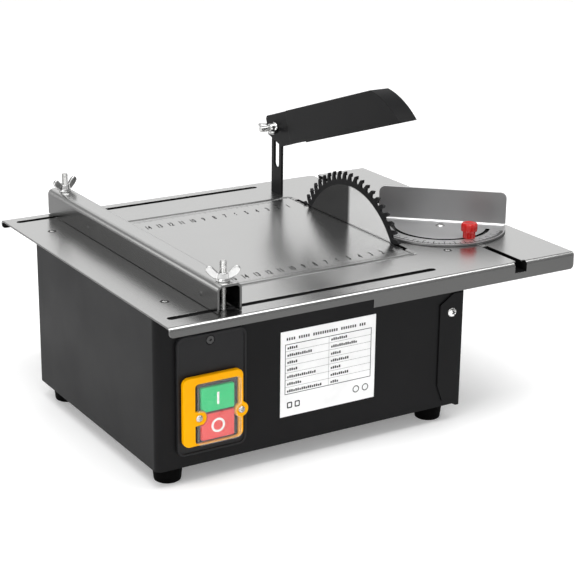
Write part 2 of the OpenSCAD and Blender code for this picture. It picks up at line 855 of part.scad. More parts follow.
// The hood's side outline, lengths measured forward from the bolt, grown inward by inset
module hood_outline(inset) {
    difference() {
        translate([-guard_len - 5, hood_w[0] - inset])
            square([guard_len + 5 - hood_rear + inset, hood_w[1] - hood_w[0]]);
        difference() {
            translate([-guard_len - 10, hood_w[0] - 20]) square([guard_len + 10 - nose_c[0], 60]);
            translate([-nose_c[0], nose_c[1]]) circle(nose_r - inset, $fn = 128);
        }
    }
}

module guard_ear() {
    back = 13;
    chamfer = [19, 12.5];                 // cut-off lower rear corner, along and up
    over = chamfer * eps / chamfer[1];
    difference() {
        translate([-22, hood_w[0]]) square([22 + back, hood_w[1] - hood_w[0]]);
        translate([back, hood_w[0]])
            polygon([[over[0], chamfer[1] + over[1]], [-chamfer[0] - over[0], -over[1]],
                [over[0], -over[1]]]);
        difference() {
            translate([back - 3, hood_w[1] - 3]) square(4);
            translate([back - 3, hood_w[1] - 3]) circle(3);
        }
        circle(stud_r + run_gap);
    }
}

module guard_hood() {
    inner = [hood_x[0] + hood_t, hood_x[1] - hood_t];
    joggle = [[ear_x_guard[0], -21], [ear_x_guard[1], -21], [ear_x_guard[1], -23.2],
        [inner[0], -28], [hood_x[0], -28], [hood_x[0], -26], [ear_x_guard[0], -22]];
    color(black_paint) on_table() at_guard_bolt(guard_tilt) {
        difference() {
            slab_x(hood_x[0], hood_x[1]) hood_outline(0);
            slab_x(inner[0], inner[1]) hood_outline(hood_t);
        }
        slab_x(ear_x_guard[0], ear_x_guard[1]) guard_ear();
        translate([0, 0, hood_w[0]]) linear_extrude(hood_w[1] - hood_w[0]) polygon(joggle);
    }
}

module guard_wing_nut() {
    color(steel) on_table() at_guard_bolt(0) translate([ear_x_guard[0] - face_gap, 0, 0])
        rotate([98, 0, 0]) rotate([0, -90, 0]) wing_nut();
}

// ---------------------------------------------------------------- blade and arbor

function polar(r, a) = [r * cos(a), r * sin(a)];

// One tooth's outline: back foot, heel, tip, and the foot of its leading face
function tooth(a, pitch) = [
    polar(blade_r - tooth_depth + 0.8, a - 0.77 * pitch),
    polar(blade_r - 1.2, a - 0.43 * pitch),
    polar(blade_r, a),
    polar(blade_r - tooth_depth, a - 0.18 * pitch)];

module saw_blade() {
    pitch = 360 / blade_teeth;
    color("gray") on_table() translate([0, blade_y, axis_z]) difference() {
        slab_x(blade_x - kerf / 2, blade_x + kerf / 2)
            polygon([for (i = [0:blade_teeth - 1], p = tooth(i * pitch, pitch)) p]);
        for (side = [-1, 1])
            rod_x(blade_x + side * (blade_t / 2 + 1) - 1, blade_x + side * (blade_t / 2 + 1) + 1,
                blade_r - tooth_depth - 2);
        rod_x(blade_x - 5, blade_x + 5, arbor_r);
    }
}

module arbor_shaft() {
    color(steel) on_table() translate([0, blade_y, axis_z]) rod_x(pulley_x[0] - 2, 254.5, arbor_r);
}

module inner_flange() {
    face = blade_x - blade_t / 2;
    color(steel) on_table() translate([0, blade_y, axis_z]) difference() {
        union() {
            rod_x(face - flange_w, face, flange_r);
            rod_x(housing_x[1] + 1, face, 10);
        }
        rod_x(200, 250, arbor_r);
    }
}

module outer_flange() {
    face = blade_x + blade_t / 2;
    color(steel) on_table() translate([0, blade_y, axis_z]) difference() {
        rod_x(face, face + flange_w, flange_r);
        rod_x(200, 260, arbor_r);
    }
}

module arbor_nut() {
    face = blade_x + blade_t / 2 + flange_w;
    color(steel) on_table() translate([face, blade_y, axis_z]) rotate([0, 90, 0]) difference() {
        cylinder(r = 11, h = 8, $fn = 6);
        translate([0, 0, -eps]) cylinder(r = arbor_r, h = 10);
    }
}

function arbor_bearing_x() = [housing_x[0] + 1, housing_x[1] - 1 - arbor_bearing_w];

module arbor_housing() {
    foot_z = axis_z - housing_r - 6;
    color("darkgray") on_table() difference() {
        union() {
            rod_x(housing_x[0], housing_x[1], housing_r, blade_y, axis_z);
            block([housing_x[0], blade_y - 30, foot_z], [housing_x[0] + 6, blade_y + 30, axis_z + 8]);
        }
        rod_x(housing_x[0] - eps, housing_x[1] + eps, 9, blade_y, axis_z);
        for (x = arbor_bearing_x())
            rod_x(x - 1 - eps, x + arbor_bearing_w + 1 + eps, arbor_bearing_r, blade_y, axis_z);
        for (y = [blade_y - 25, blade_y + 25], z = [foot_z + 5, axis_z + 2])
            rod_x(housing_x[0] - eps, housing_x[0] + 8, 2.2, y, z);
    }
}

module bearing_x(x0, w, outer, bore) {
    difference() {
        rod_x(x0, x0 + w, outer);
        rod_x(x0 - eps, x0 + w + eps, bore + run_gap);
    }
}

module arbor_bearings() {
    color(steel) on_table() translate([0, blade_y, axis_z])
        for (x = arbor_bearing_x()) bearing_x(x, arbor_bearing_w, arbor_bearing_r, arbor_r);
}

module pulley(r, bore) {
    lip = 2.2;
    difference() {
        union() {
            rod_x(pulley_x[0], pulley_x[1], r);
            rod_x(pulley_x[0], pulley_x[0] + 1.4, r + lip);
            rod_x(pulley_x[1] - 1.4, pulley_x[1], r + lip);
        }
        rod_x(pulley_x[0] - eps, pulley_x[1] + eps, bore);
    }
}

module arbor_pulley() {
    color("darkgray") on_table() translate([0, blade_y, axis_z]) pulley(arbor_pulley_r, arbor_r);
}

module motor_pulley() {
    color("darkgray") on_table() translate([0, motor_y, motor_z]) pulley(motor_pulley_r, motor_shaft_r);
}

// The belt's side outline: a band round both pulleys, grown by g from their rims
module belt_outline(g) {
    gap = [blade_y - motor_y, axis_z - motor_z];
    span = norm(gap);
    lean = atan2(gap[1], gap[0]);
    r0 = motor_pulley_r + g;
    r1 = arbor_pulley_r + g;
    wrap = asin((r1 - r0) / span);
    translate([motor_y, motor_z]) rotate(lean) {
        circle(r0);
        translate([span, 0]) circle(r1);
        polygon([polar(r0, 90 + wrap), polar(r0, -90 - wrap),
            polar(r1, -90 - wrap) + [span, 0], polar(r1, 90 + wrap) + [span, 0]]);
    }
}

module drive_belt() {
    mid = (pulley_x[0] + pulley_x[1]) / 2;
    color([0.08, 0.08, 0.08]) on_table() slab_x(mid - belt_w / 2, mid + belt_w / 2) difference() {
        belt_outline(0.3 + belt_t);
        belt_outline(0.3);
    }
}

// The upright plate that carries the arbor housing, with its foot on the bottom plate
module drive_plate() {
    color("darkgray") on_table() difference() {
        union() {
            block([plate_x[0], blade_y - 42, floor_z], [plate_x[1], blade_y + 42, axis_z + 16]);
            block([plate_x[0], blade_y - 42, floor_z], [plate_x[1] + 22, blade_y + 42, floor_z + 4]);
        }
        rod_x(plate_x[0] - eps, plate_x[1] + eps, 8, blade_y, axis_z);
        for (y = [blade_y - 25, blade_y + 25], z = [axis_z - housing_r - 1, axis_z + 2])
            rod_x(plate_x[0] - eps, plate_x[1] + eps, 2.2, y, z);
        for (y = [blade_y - 30, blade_y + 30])
            translate([plate_x[1] + 12, y, floor_z - eps]) cylinder(r = 2.1, h = 6);
    }
}

// ---------------------------------------------------------------- motor

module at_motor() {
    on_table() translate([0, motor_y, motor_z]) children();
}

module motor_shaft() {
    color(steel) at_motor() rod_x(rear_bell_x[0] + 1.5, pulley_x[1] + 1, motor_shaft_r);
}

module armature() {
    color("chocolate") at_motor() difference() {
        union() {
            for (i = [0:11]) rotate([i * 30, 0, 0]) block([96, -5.2, 8], [134, 5.2, 26]);
            rod_x(92, 138, 17);
            rod_x(141, 149, 11);
            rod_x(138, 141, 8);
        }
        rod_x(80, 160, motor_shaft_r);
    }
}

module motor_can() {
    color("dimgray") at_motor() difference() {
        rod_x(can_x[0], can_x[1], motor_r);
        rod_x(can_x[0] - eps, can_x[1] + eps, motor_r - 2.5);
    }
}

module field_magnets() {
    color([0.25, 0.25, 0.27]) at_motor()
        for (side = [0, 180]) rotate([side, 0, 0]) intersection() {
            difference() {
                rod_x(94, 137, motor_r - 2.6);
                rod_x(90, 140, 28.5);
            }
            block([90, -26, 8], [140, 26, motor_r]);
        }
}

module motor_brushes() {
    color([0.1, 0.1, 0.1]) at_motor()
        for (side = [-1, 1])
            block([142, side * 21.5 - 10, -3], [148, side * 21.5 + 10, 3]);
}

module motor_bell(x0, x1, inward, bearing_x0) {
    difference() {
        union() {
            rod_x(x0, x1, motor_r);
            rod_x(inward ? x0 - 3 : x1, inward ? x0 : x1 + 3, motor_r - 2.6);
        }
        rod_x(inward ? x0 - 3 - eps : x0 + 4, inward ? x1 - 4 : x1 + 3 + eps, motor_r - 6);
    }
}

module motor_front_bell() {
    color("darkgray") at_motor() difference() {
        union() {
            motor_bell(front_bell_x[0], front_bell_x[1], true);
            rod_x(front_bell_x[0], front_bell_x[1], motor_bearing_r + 3);
        }
        rod_x(front_bell_x[0] - eps, front_bell_x[1] - 2, motor_bearing_r);
        rod_x(front_bell_x[0], front_bell_x[1] + eps, motor_shaft_r + 1);
        for (side = [-1, 1]) rod_x(front_bell_x[1] - 8, front_bell_x[1] + eps, 2, side * 25, 0);
    }
}

module motor_rear_bell() {
    color("darkgray") at_motor() difference() {
        union() {
            motor_bell(rear_bell_x[0], rear_bell_x[1], false);
            rod_x(rear_bell_x[0], rear_bell_x[1], motor_bearing_r + 3);
        }
        rod_x(rear_bell_x[0] + 1, rear_bell_x[1] + eps, motor_bearing_r);
        for (i = [0:7]) rotate([i * 45, 0, 0])
            block([rear_bell_x[0] - eps, -3, 18], [rear_bell_x[0] + 5, 3, 29]);
    }
}

module motor_bearings() {
    color(steel) at_motor() {
        bearing_x(front_bell_x[1] - 2 - motor_bearing_w, motor_bearing_w, motor_bearing_r, motor_shaft_r);
        bearing_x(rear_bell_x[0] + 1, motor_bearing_w, motor_bearing_r, motor_shaft_r);
    }
}

// The angle bracket that the motor's front bell is screwed to
module motor_bracket() {
    color("darkgray") on_table() difference() {
        union() {
            block([bracket_x[0], motor_y - 36, floor_z], [bracket_x[1], motor_y + 36, motor_z + 34]);
            block([bracket_x[0], motor_y - 36, floor_z], [bracket_x[1] + 18, motor_y + 36, floor_z + 4]);
        }
        rod_x(bracket_x[0] - eps, bracket_x[1] + eps, 9, motor_y, motor_z);
        for (side = [-1, 1])
            rod_x(bracket_x[0] - eps, bracket_x[1] + eps, 2.2, motor_y + side * 25, motor_z);
        for (side = [-1, 1])
            translate([bracket_x[1] + 9, motor_y + side * 28, floor_z - eps]) cylinder(r = 2.1, h = 6);
    }
}

function bracket_screw_places() = [
    [bracket_x[1] + 9, motor_y - 28], [bracket_x[1] + 9, motor_y + 28],
    [plate_x[1] + 12, blade_y - 30], [plate_x[1] + 12, blade_y + 30]];

// Screws through both brackets' feet, through the bracket into the motor, and into the arbor housing
module bracket_screws() {
    foot_z = axis_z - housing_r - 1;
    color(steel) on_table() {
        for (p = bracket_screw_places()) translate([p[0], p[1], 0]) {
            translate([0, 0, body_z - 1]) cylinder(r = 2, h = 6 + body_t);
            translate([0, 0, floor_z + 4]) cylinder(r = 3.8, h = 3, $fn = 6);
            translate([0, 0, body_z - 2.4]) cylinder(r = 3.6, h = 2.4);
        }
        for (side = [-1, 1]) {
            rod_x(front_bell_x[1] - 7, bracket_x[1], 2, motor_y + side * 25, motor_z);
            rod_x(bracket_x[1], bracket_x[1] + 2.6, 3.6, motor_y + side * 25, motor_z);
        }
        for (y = [blade_y - 25, blade_y + 25], z = [foot_z, axis_z + 2]) {
            rod_x(plate_x[0] - 2, housing_x[0] + 7, 2, y, z);
            rod_x(housing_x[0] + 6, housing_x[0] + 9, 3.6, y, z);
        }
    }
}

// ---------------------------------------------------------------- what is drawn

table_top();
insert_plate();
insert_frame();
table_screws();
table_nuts();
body_shell();
shell_tabs();
side_panel();
panel_screws();
bottom_plate();
feet();
foot_screws();
cable_gland();
rating_label();
switch_plate();
switch_plate_screw();
switch_flange();
switch_flange_screws();
switch_housing();
switch_cover();
start_button();
stop_button();
button_springs();
switch_terminals();
fence_channel();
fence_studs();
fence_washers();
fence_nut_front();
fence_nut_rear();
miter_bar();
miter_plate();
miter_pivot_screw();
miter_lock_stud();
miter_knob();
guard_post();
guard_post_nuts();
guard_bolt();
guard_hood();
guard_wing_nut();
saw_blade();
arbor_shaft();
inner_flange();
outer_flange();
arbor_nut();
arbor_housing();
arbor_bearings();
arbor_pulley();
drive_plate();
drive_belt();
motor_pulley();
motor_shaft();
armature();
motor_can();
field_magnets();
motor_brushes();
motor_front_bell();
motor_rear_bell();
motor_bearings();
motor_bracket();
bracket_screws();
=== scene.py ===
"""Looks of a benchtop table saw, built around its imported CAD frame. Metres, +Z up."""

import json
import math

import bmesh
import bpy
from mathutils import Matrix, Vector


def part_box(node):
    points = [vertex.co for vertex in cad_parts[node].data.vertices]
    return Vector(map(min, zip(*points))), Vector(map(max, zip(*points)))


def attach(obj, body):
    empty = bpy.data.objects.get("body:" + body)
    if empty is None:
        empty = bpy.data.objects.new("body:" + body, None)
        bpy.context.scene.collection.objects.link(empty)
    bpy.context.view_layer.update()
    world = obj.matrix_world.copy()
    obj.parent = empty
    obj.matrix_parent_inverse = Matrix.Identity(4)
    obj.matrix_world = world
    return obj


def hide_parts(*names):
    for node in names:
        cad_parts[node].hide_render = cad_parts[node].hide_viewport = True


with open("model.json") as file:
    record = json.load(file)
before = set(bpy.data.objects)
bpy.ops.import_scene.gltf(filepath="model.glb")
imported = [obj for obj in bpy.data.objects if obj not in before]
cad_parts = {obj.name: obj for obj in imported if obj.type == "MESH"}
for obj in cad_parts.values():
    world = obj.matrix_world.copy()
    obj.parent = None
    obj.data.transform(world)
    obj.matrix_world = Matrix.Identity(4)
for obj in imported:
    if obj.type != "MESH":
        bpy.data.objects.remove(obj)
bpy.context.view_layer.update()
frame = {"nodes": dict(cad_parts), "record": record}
nodes = frame["nodes"]

# ------------------------------------------------------------------ places

MM = 0.001
TABLE_LO, TABLE_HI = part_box("table_top")
FLAT = Matrix.Identity(4)
# Planes that an outline drawn in x and y can be put in
FRONT = Matrix(((1, 0, 0, 0), (0, 0, -1, 0), (0, 1, 0, 0), (0, 0, 0, 1)))
SIDE = Matrix(((0, 0, 1, 0), (1, 0, 0, 0), (0, 1, 0, 0), (0, 0, 0, 1)))


def at(x, y, z):
    """A place from the table's front left corner on its top face, in millimetres."""
    return Vector((TABLE_LO.x + x * MM, TABLE_LO.y + y * MM, TABLE_HI.z + z * MM))


def from_corner(point):
    """The same corner's millimetres of a place in the row frame."""
    return (point - Vector((TABLE_LO.x, TABLE_LO.y, TABLE_HI.z))) / MM


def node_box(name):
    """A CAD node's low and high corner, in millimetres from the table's corner."""
    low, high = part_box(name)
    return from_corner(low), from_corner(high)


# ------------------------------------------------------------------ materials

EDGE_RADIUS = 0.0003
SLOT_OF = {entry["node"]: entry["material_slot"] for entry in frame["record"]["subparts"]}


def new_material(name, color, metallic=0.0, roughness=0.4, **sockets):
    """A principled material. sockets are the shader's own inputs, with _ for a space."""
    material = bpy.data.materials.new(name)
    material.use_nodes = True
    shader = material.node_tree.nodes["Principled BSDF"]
    shader.inputs["Base Color"].default_value = (*color, 1.0)
    shader.inputs["Metallic"].default_value = metallic
    shader.inputs["Roughness"].default_value = roughness
    for key, value in sockets.items():
        shader.inputs[key.replace("_", " ")].default_value = value
    return material, material.node_tree, shader


def place_in(tree, stretch=(1, 1, 1), offset=(0, 0, 0)):
    """The surface's own coordinates, stretched per axis."""
    coords = tree.nodes.new("ShaderNodeTexCoord")
    mapping = tree.nodes.new("ShaderNodeMapping")
    mapping.inputs["Scale"].default_value = stretch
    mapping.inputs["Location"].default_value = offset
    tree.links.new(coords.outputs["Object"], mapping.inputs["Vector"])
    return mapping.outputs["Vector"]


def noise_of(tree, vector, scale, detail=3.0):
    """A noise texture's value, about 0 to 1."""
    noise = tree.nodes.new("ShaderNodeTexNoise")
    noise.inputs["Scale"].default_value = scale
    noise.inputs["Detail"].default_value = detail
    tree.links.new(vector, noise.inputs["Vector"])
    return noise.outputs["Fac"]


def spread(tree, factor, low, high, start=0.3, end=0.7):
    """Maps a factor's range start to end onto low to high."""
    node = tree.nodes.new("ShaderNodeMapRange")
    node.inputs["From Min"].default_value = start
    node.inputs["From Max"].default_value = end
    node.inputs["To Min"].default_value = low
    node.inputs["To Max"].default_value = high
    tree.links.new(factor, node.inputs["Value"])
    return node.outputs["Result"]


def tint(tree, shader, factor, dark, light, start=0.3, end=0.7):
    """Base colour between two shades, by a factor."""
    mix = tree.nodes.new("ShaderNodeMix")
    mix.data_type = "RGBA"
    mix.inputs["A"].default_value = (*dark, 1.0)
    mix.inputs["B"].default_value = (*light, 1.0)
    tree.links.new(spread(tree, factor, 0.0, 1.0, start, end), mix.inputs["Factor"])
    tree.links.new(mix.outputs["Result"], shader.inputs["Base Color"])


def relief(tree, shader, height, strength, depth, edge=EDGE_RADIUS):
    """A bump from height, on normals rounded at the edges."""
    bump = tree.nodes.new("ShaderNodeBump")
    bump.inputs["Strength"].default_value = strength
    bump.inputs["Distance"].default_value = depth
    tree.links.new(height, bump.inputs["Height"])
    if edge:
        bevel = tree.nodes.new("ShaderNodeBevel")
        bevel.samples = 4 if edge <= EDGE_RADIUS else 10
        bevel.inputs["Radius"].default_value = edge
        tree.links.new(bevel.outputs["Normal"], bump.inputs["Normal"])
    tree.links.new(bump.outputs["Normal"], shader.inputs["Normal"])


def shade_upright_faces(tree, shader, factor):
    """Multiplies the base colour by factor where the surface stands upright: painted shade on upright faces.
    """
    base = shader.inputs["Base Color"].links[0].from_socket
    coords = tree.nodes.new("ShaderNodeTexCoord")
    split = tree.nodes.new("ShaderNodeSeparateXYZ")
    tree.links.new(coords.outputs["Normal"], split.inputs["Vector"])
    flatness = tree.nodes.new("ShaderNodeMath")
    flatness.operation = "ABSOLUTE"
    tree.links.new(split.outputs["Z"], flatness.inputs[0])
    mix = tree.nodes.new("ShaderNodeMix")
    mix.data_type = "RGBA"
    mix.blend_type = "MULTIPLY"
    mix.inputs["Factor"].default_value = 1.0
    tree.links.new(base, mix.inputs["A"])
    level = spread(tree, flatness.outputs[0], factor, 1.0, 0.1, 0.6)
    tree.links.new(level, mix.inputs["B"])
    tree.links.new(mix.outputs["Result"], shader.inputs["Base Color"])


def scaled(color, factor):
    """A colour made lighter or darker."""
    return tuple(min(1.0, channel * factor) for channel in color)


def brushed_metal(name, color, roughness, along, grain=1.0, side_shade=1.0, edge=EDGE_RADIUS):
    """Sheet metal with fine scratches along one axis and faint smudges.
    side_shade darkens upright faces, which stands in for the dark things that they reflect."""
    material, tree, shader = new_material(name, color, 1.0, roughness)
    stretch = [2600.0, 2600.0, 2600.0]
    stretch["xyz".index(along)] = 40.0
    scratches = noise_of(tree, place_in(tree, stretch), 1.0, 4.0)
    smudges = noise_of(tree, place_in(tree), 14.0, 4.0)
    tint(tree, shader, smudges, scaled(color, 0.96), scaled(color, 1.03))
    if side_shade < 1.0:
        shade_upright_faces(tree, shader, side_shade)
    wear = tree.nodes.new("ShaderNodeMath")
    wear.operation = "MULTIPLY_ADD"
    tree.links.new(scratches, wear.inputs[0])
    wear.inputs[1].default_value = 0.5 * grain
    tree.links.new(spread(tree, smudges, 0.25, 0.6), wear.inputs[2])
    low, high = roughness * 0.9, roughness * 1.12
    tree.links.new(spread(tree, wear.outputs[0], low, high, 0.2, 0.8), shader.inputs["Roughness"])
    relief(tree, shader, scratches, 0.05 * grain, 0.0001, edge)
    return material


def powder_coat(name, color, roughness=0.42, specular=0.16):
    """Matt black paint with a fine, even texture and a little dust."""
    material, tree, shader = new_material(name, color, 0.0, roughness, Specular_IOR_Level=specular)
    grain = noise_of(tree, place_in(tree), 2400.0, 2.0)
    cloud = noise_of(tree, place_in(tree), 22.0, 5.0)
    tint(tree, shader, cloud, scaled(color, 0.85), scaled(color, 1.2))
    tree.links.new(spread(tree, cloud, roughness * 0.9, roughness * 1.12), shader.inputs["Roughness"])
    relief(tree, shader, grain, 0.22, 0.0001, 0.0005)
    return material


def moulded(name, color, roughness, grain=0.05, specular=0.5, coat=0.0):
    """Moulded plastic or rubber: faint grain and slow colour variation."""
    material, tree, shader = new_material(
        name, color, 0.0, roughness, Specular_IOR_Level=specular, Coat_Weight=coat)
    fine = noise_of(tree, place_in(tree), 1500.0, 2.0)
    cloud = noise_of(tree, place_in(tree), 60.0, 3.0)
    tint(tree, shader, cloud, scaled(color, 0.92), scaled(color, 1.06))
    tree.links.new(spread(tree, cloud, roughness * 0.88, roughness * 1.15), shader.inputs["Roughness"])
    relief(tree, shader, fine, grain, 0.0001)
    return material


def plated(name, color, roughness):
    """Zinc or chrome plating on small parts, slightly uneven."""
    material, tree, shader = new_material(name, color, 1.0, roughness)
    patches = noise_of(tree, place_in(tree), 260.0, 3.0)
    tint(tree, shader, patches, scaled(color, 0.86), scaled(color, 1.08))
    tree.links.new(spread(tree, patches, roughness * 0.7, roughness * 1.5), shader.inputs["Roughness"])
    relief(tree, shader, noise_of(tree, place_in(tree), 700.0), 0.08, 0.0001, 0.00025)
    return material


def cast_metal(name, color, roughness=0.5):
    """Cast alloy: a coarse grain."""
    material, tree, shader = new_material(name, color, 1.0, roughness)
    grain = noise_of(tree, place_in(tree), 900.0, 4.0)
    tint(tree, shader, grain, scaled(color, 0.8), scaled(color, 1.1))
    relief(tree, shader, grain, 0.3, 0.0002)
    return material


def blade_metal(name, centre, rim_radius, dark, light, painted_dark_half):
    """Ground steel, faintly uneven, with a blackened rim outside rim_radius. A painted reflection
    splits the disc in two: the half in front of the centre is bright and the half behind it dark."""
    material, tree, shader = new_material(name, light, 1.0, 0.3)
    offset = (0.0, -centre.y, -centre.z)
    flat = place_in(tree, (0, 1, 1), offset)
    length = tree.nodes.new("ShaderNodeVectorMath")
    length.operation = "LENGTH"
    tree.links.new(flat, length.inputs[0])
    radius = length.outputs["Value"]
    streaks = noise_of(tree, place_in(tree, (1, 1, 1), offset), 90.0, 4.0)
    wobble = tree.nodes.new("ShaderNodeMath")
    wobble.operation = "MULTIPLY_ADD"
    tree.links.new(streaks, wobble.inputs[0])
    wobble.inputs[1].default_value = 0.0004
    tree.links.new(radius, wobble.inputs[2])
    rim = spread(tree, wobble.outputs[0], 0.0, 1.0, rim_radius - 0.0002, rim_radius + 0.0004)
    split = tree.nodes.new("ShaderNodeSeparateXYZ")
    tree.links.new(flat, split.inputs["Vector"])
    # Painted reflection: bright in front of the blade's centre, dark behind it
    tint(tree, shader, split.outputs["Y"], light, painted_dark_half, -0.0005, 0.0035)
    ground = shader.inputs["Base Color"].links[0].from_socket
    mix = tree.nodes.new("ShaderNodeMix")
    mix.data_type = "RGBA"
    tree.links.new(ground, mix.inputs["A"])
    mix.inputs["B"].default_value = (*dark, 1.0)
    tree.links.new(rim, mix.inputs["Factor"])
    tree.links.new(mix.outputs["Result"], shader.inputs["Base Color"])
    tree.links.new(spread(tree, rim, 0.26, 0.42, 0.0, 1.0), shader.inputs["Roughness"])
    relief(tree, shader, streaks, 0.05, 0.0001, 0.0002)
    return material


def clear_plastic(name):
    """Soft clear cover, faintly hazy."""
    material, tree, shader = new_material(
        name, (0.95, 0.97, 0.97), 0.0, 0.08, Alpha=0.05, Specular_IOR_Level=0.6)
    waves = noise_of(tree, place_in(tree), 120.0, 2.0)
    tree.links.new(spread(tree, waves, 0.05, 0.14), shader.inputs["Roughness"])
    relief(tree, shader, waves, 0.25, 0.0004)
    return material


def painted_mark(name, color):
    """Printed ink, slightly worn. The black ink made here also serves as painted shade in screw recesses."""
    material, tree, shader = new_material(name, color, 0.0, 0.55, Specular_IOR_Level=0.05)
    wear = noise_of(tree, place_in(tree), 900.0, 3.0)
    tint(tree, shader, wear, scaled(color, 0.85), scaled(color, 1.15))
    return material


BLADE_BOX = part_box("saw_blade")
BLADE_CENTRE = (BLADE_BOX[0] + BLADE_BOX[1]) / 2
BLADE_RADIUS = (BLADE_BOX[1].z - BLADE_BOX[0].z) / 2

MATERIALS = {
    # stainless and dark_steel darken their upright faces by side_shade: painted shade for the dark things
    # they reflect
    "stainless": brushed_metal("stainless_sheet", (0.5, 0.5, 0.495), 0.25, "x", 0.2, 0.23, 0.0006),
    "black_paint": powder_coat("black_powder_coat", (0.007, 0.007, 0.0075), 0.42, 0.1),
    "zinc_screw": plated("zinc_plate", (0.6, 0.6, 0.59), 0.24),
    "bright_nut": plated("bright_plate", (0.66, 0.66, 0.655), 0.16),
    "dark_steel": brushed_metal("dark_rolled_steel", (0.78, 0.78, 0.785), 0.42, "x", 0.3, 0.31),
    # The blade's disc carries a painted reflection: white in front of its centre, dark behind
    "saw_steel": blade_metal("saw_steel", BLADE_CENTRE, BLADE_RADIUS * 0.865,
                             (0.022, 0.022, 0.023), (1.0, 1.0, 1.0), (0.06, 0.06, 0.06)),
    "rubber": moulded("black_rubber", (0.002, 0.002, 0.002), 0.65, 0.12, 0.03),
    "dark_plastic": moulded("dark_plastic", (0.01, 0.01, 0.011), 0.4, 0.1, 0.2),
    "yellow_plastic": moulded("yellow_plastic", (1.0, 0.43, 0.0), 0.32, 0.02, 0.08),
    "green_plastic": moulded("green_plastic", (0.0, 0.56, 0.18), 0.26, 0.01, 0.15),
    "red_plastic": moulded("red_plastic", (0.8, 0.035, 0.03), 0.3, 0.02),
    "clear_plastic": clear_plastic("clear_cover"),
    "label": moulded("label_film", (0.98, 0.98, 0.98), 0.35, 0.01),
    "spring_steel": plated("spring_steel", (0.5, 0.5, 0.5), 0.25),
    "brass": plated("brass", (0.75, 0.52, 0.2), 0.3),
    "cast_alloy": cast_metal("cast_alloy", (0.5, 0.5, 0.5)),
    "ground_steel": plated("ground_steel", (0.55, 0.55, 0.56), 0.2),
    "copper": moulded("enamelled_copper", (0.45, 0.13, 0.05), 0.35, 0.3),
    "magnet": moulded("magnet", (0.03, 0.03, 0.032), 0.6, 0.3),
    "black_screw": plated("blackened_steel", (0.07, 0.07, 0.07), 0.35),
    "motor_paint": powder_coat("motor_paint", (0.02, 0.02, 0.022), 0.35, 0.4),
}
# Black ink for the label's print, and flat black for painted shade in screw recesses
INK_AND_SHADE = painted_mark("black_ink_and_shade", (0.03, 0.03, 0.03))
SOFT_INK = painted_mark("grey_ink", (0.12, 0.12, 0.12))
ETCH = painted_mark("etched_mark", (0.03, 0.03, 0.03))
WHITE_MARK = painted_mark("white_mark", (0.85, 0.85, 0.83))
# Bright steel for painted highlights on the miter gauge's fold and the blade slot's edge
PAINTED_HIGHLIGHT = brushed_metal("painted_highlight_steel", (0.95, 0.95, 0.95), 0.3, "x", 0.1, 1.0, 0.0)
HEAD_METAL = plated("bright_screw_head", (0.92, 0.92, 0.91), 0.2)
# Flat black for painted shadow inside slots
PAINTED_SHADOW = moulded("shadowed_edge", (0.006, 0.006, 0.006), 0.7, 0.1, 0.05)
KNOB_RED = moulded("knob_red", (0.52, 0.006, 0.004), 0.16, 0.02)

for node_name, node_object in nodes.items():
    for material_slot in node_object.material_slots:
        material_slot.material = MATERIALS[SLOT_OF[node_name]]

# ------------------------------------------------------------------ mesh tools


def circle_points(x, y, radius, count=32, start=0.0, turn=360.0):
    """Points on an arc, in degrees; a full circle leaves out its repeated end."""
    last = count if turn < 360.0 else count - 1
    angles = [math.radians(start + turn * i / count) for i in range(last + 1)]
    return [(x + radius * math.cos(a), y + radius * math.sin(a)) for a in angles]


def rounded_loop(low, high, radius, steps=6):
    """A rectangle's outline with round corners."""
    corners = [(high[0] - radius, high[1] - radius, 0), (low[0] + radius, high[1] - radius, 90),
               (low[0] + radius, low[1] + radius, 180), (high[0] - radius, low[1] + radius, 270)]
    loop = []
    for x, y, start in corners:
        loop += circle_points(x, y, radius, steps, start, 90.0)
    return loop


def plate(name, loops, depth, bevel=0.0, segments=2):
    """A flat piece, in millimetres, from its outline and holes: centred on z = 0."""
    curve = bpy.data.curves.new(name, "CURVE")
    curve.dimensions = "2D"
    curve.fill_mode = "BOTH"
    curve.extrude = max(depth / 2 - bevel, 0.0001)
    curve.bevel_depth = bevel
    curve.bevel_resolution = segments
    curve.offset = -bevel
    for loop in loops:
        spline = curve.splines.new("POLY")
        spline.points.add(len(loop) - 1)
        spline.use_cyclic_u = True
        for point, (x, y) in zip(spline.points, loop):
            point.co = (x, y, 0, 1)
    return curve_to_mesh(name, curve)


def curve_to_mesh(name, curve):
    """The mesh of a curve or of a number, with its doubled points merged. The curve is used up."""
    holder = bpy.data.objects.new(name, curve)
    mesh = bpy.data.meshes.new_from_object(holder)
    bpy.data.objects.remove(holder)
    bpy.data.curves.remove(curve)
    shell = bmesh.new()
    shell.from_mesh(mesh)
    bmesh.ops.remove_doubles(shell, verts=shell.verts, dist=0.001)
    shell.to_mesh(mesh)
    shell.free()
    return mesh


def revolve(name, profile, steps=48, ripples=0):
    """A turned piece about z, in millimetres. profile lists (radius, height, ripple depth)."""
    shell = bmesh.new()
    rings = []
    for radius, height, depth in profile:
        ring = []
        for i in range(steps):
            angle = 2 * math.pi * i / steps
            r = radius - depth * (0.5 - 0.5 * math.cos(ripples * angle))
            ring.append(shell.verts.new((r * math.cos(angle), r * math.sin(angle), height)))
        rings.append(ring)
    for lower, upper in zip(rings, rings[1:]):
        for i in range(steps):
            j = (i + 1) % steps
            shell.faces.new((lower[i], lower[j], upper[j], upper[i]))
    shell.faces.new(list(reversed(rings[0])))
    shell.faces.new(rings[-1])
    bmesh.ops.recalc_face_normals(shell, faces=shell.faces)
    mesh = bpy.data.meshes.new(name)
    shell.to_mesh(mesh)
    shell.free()
    return mesh


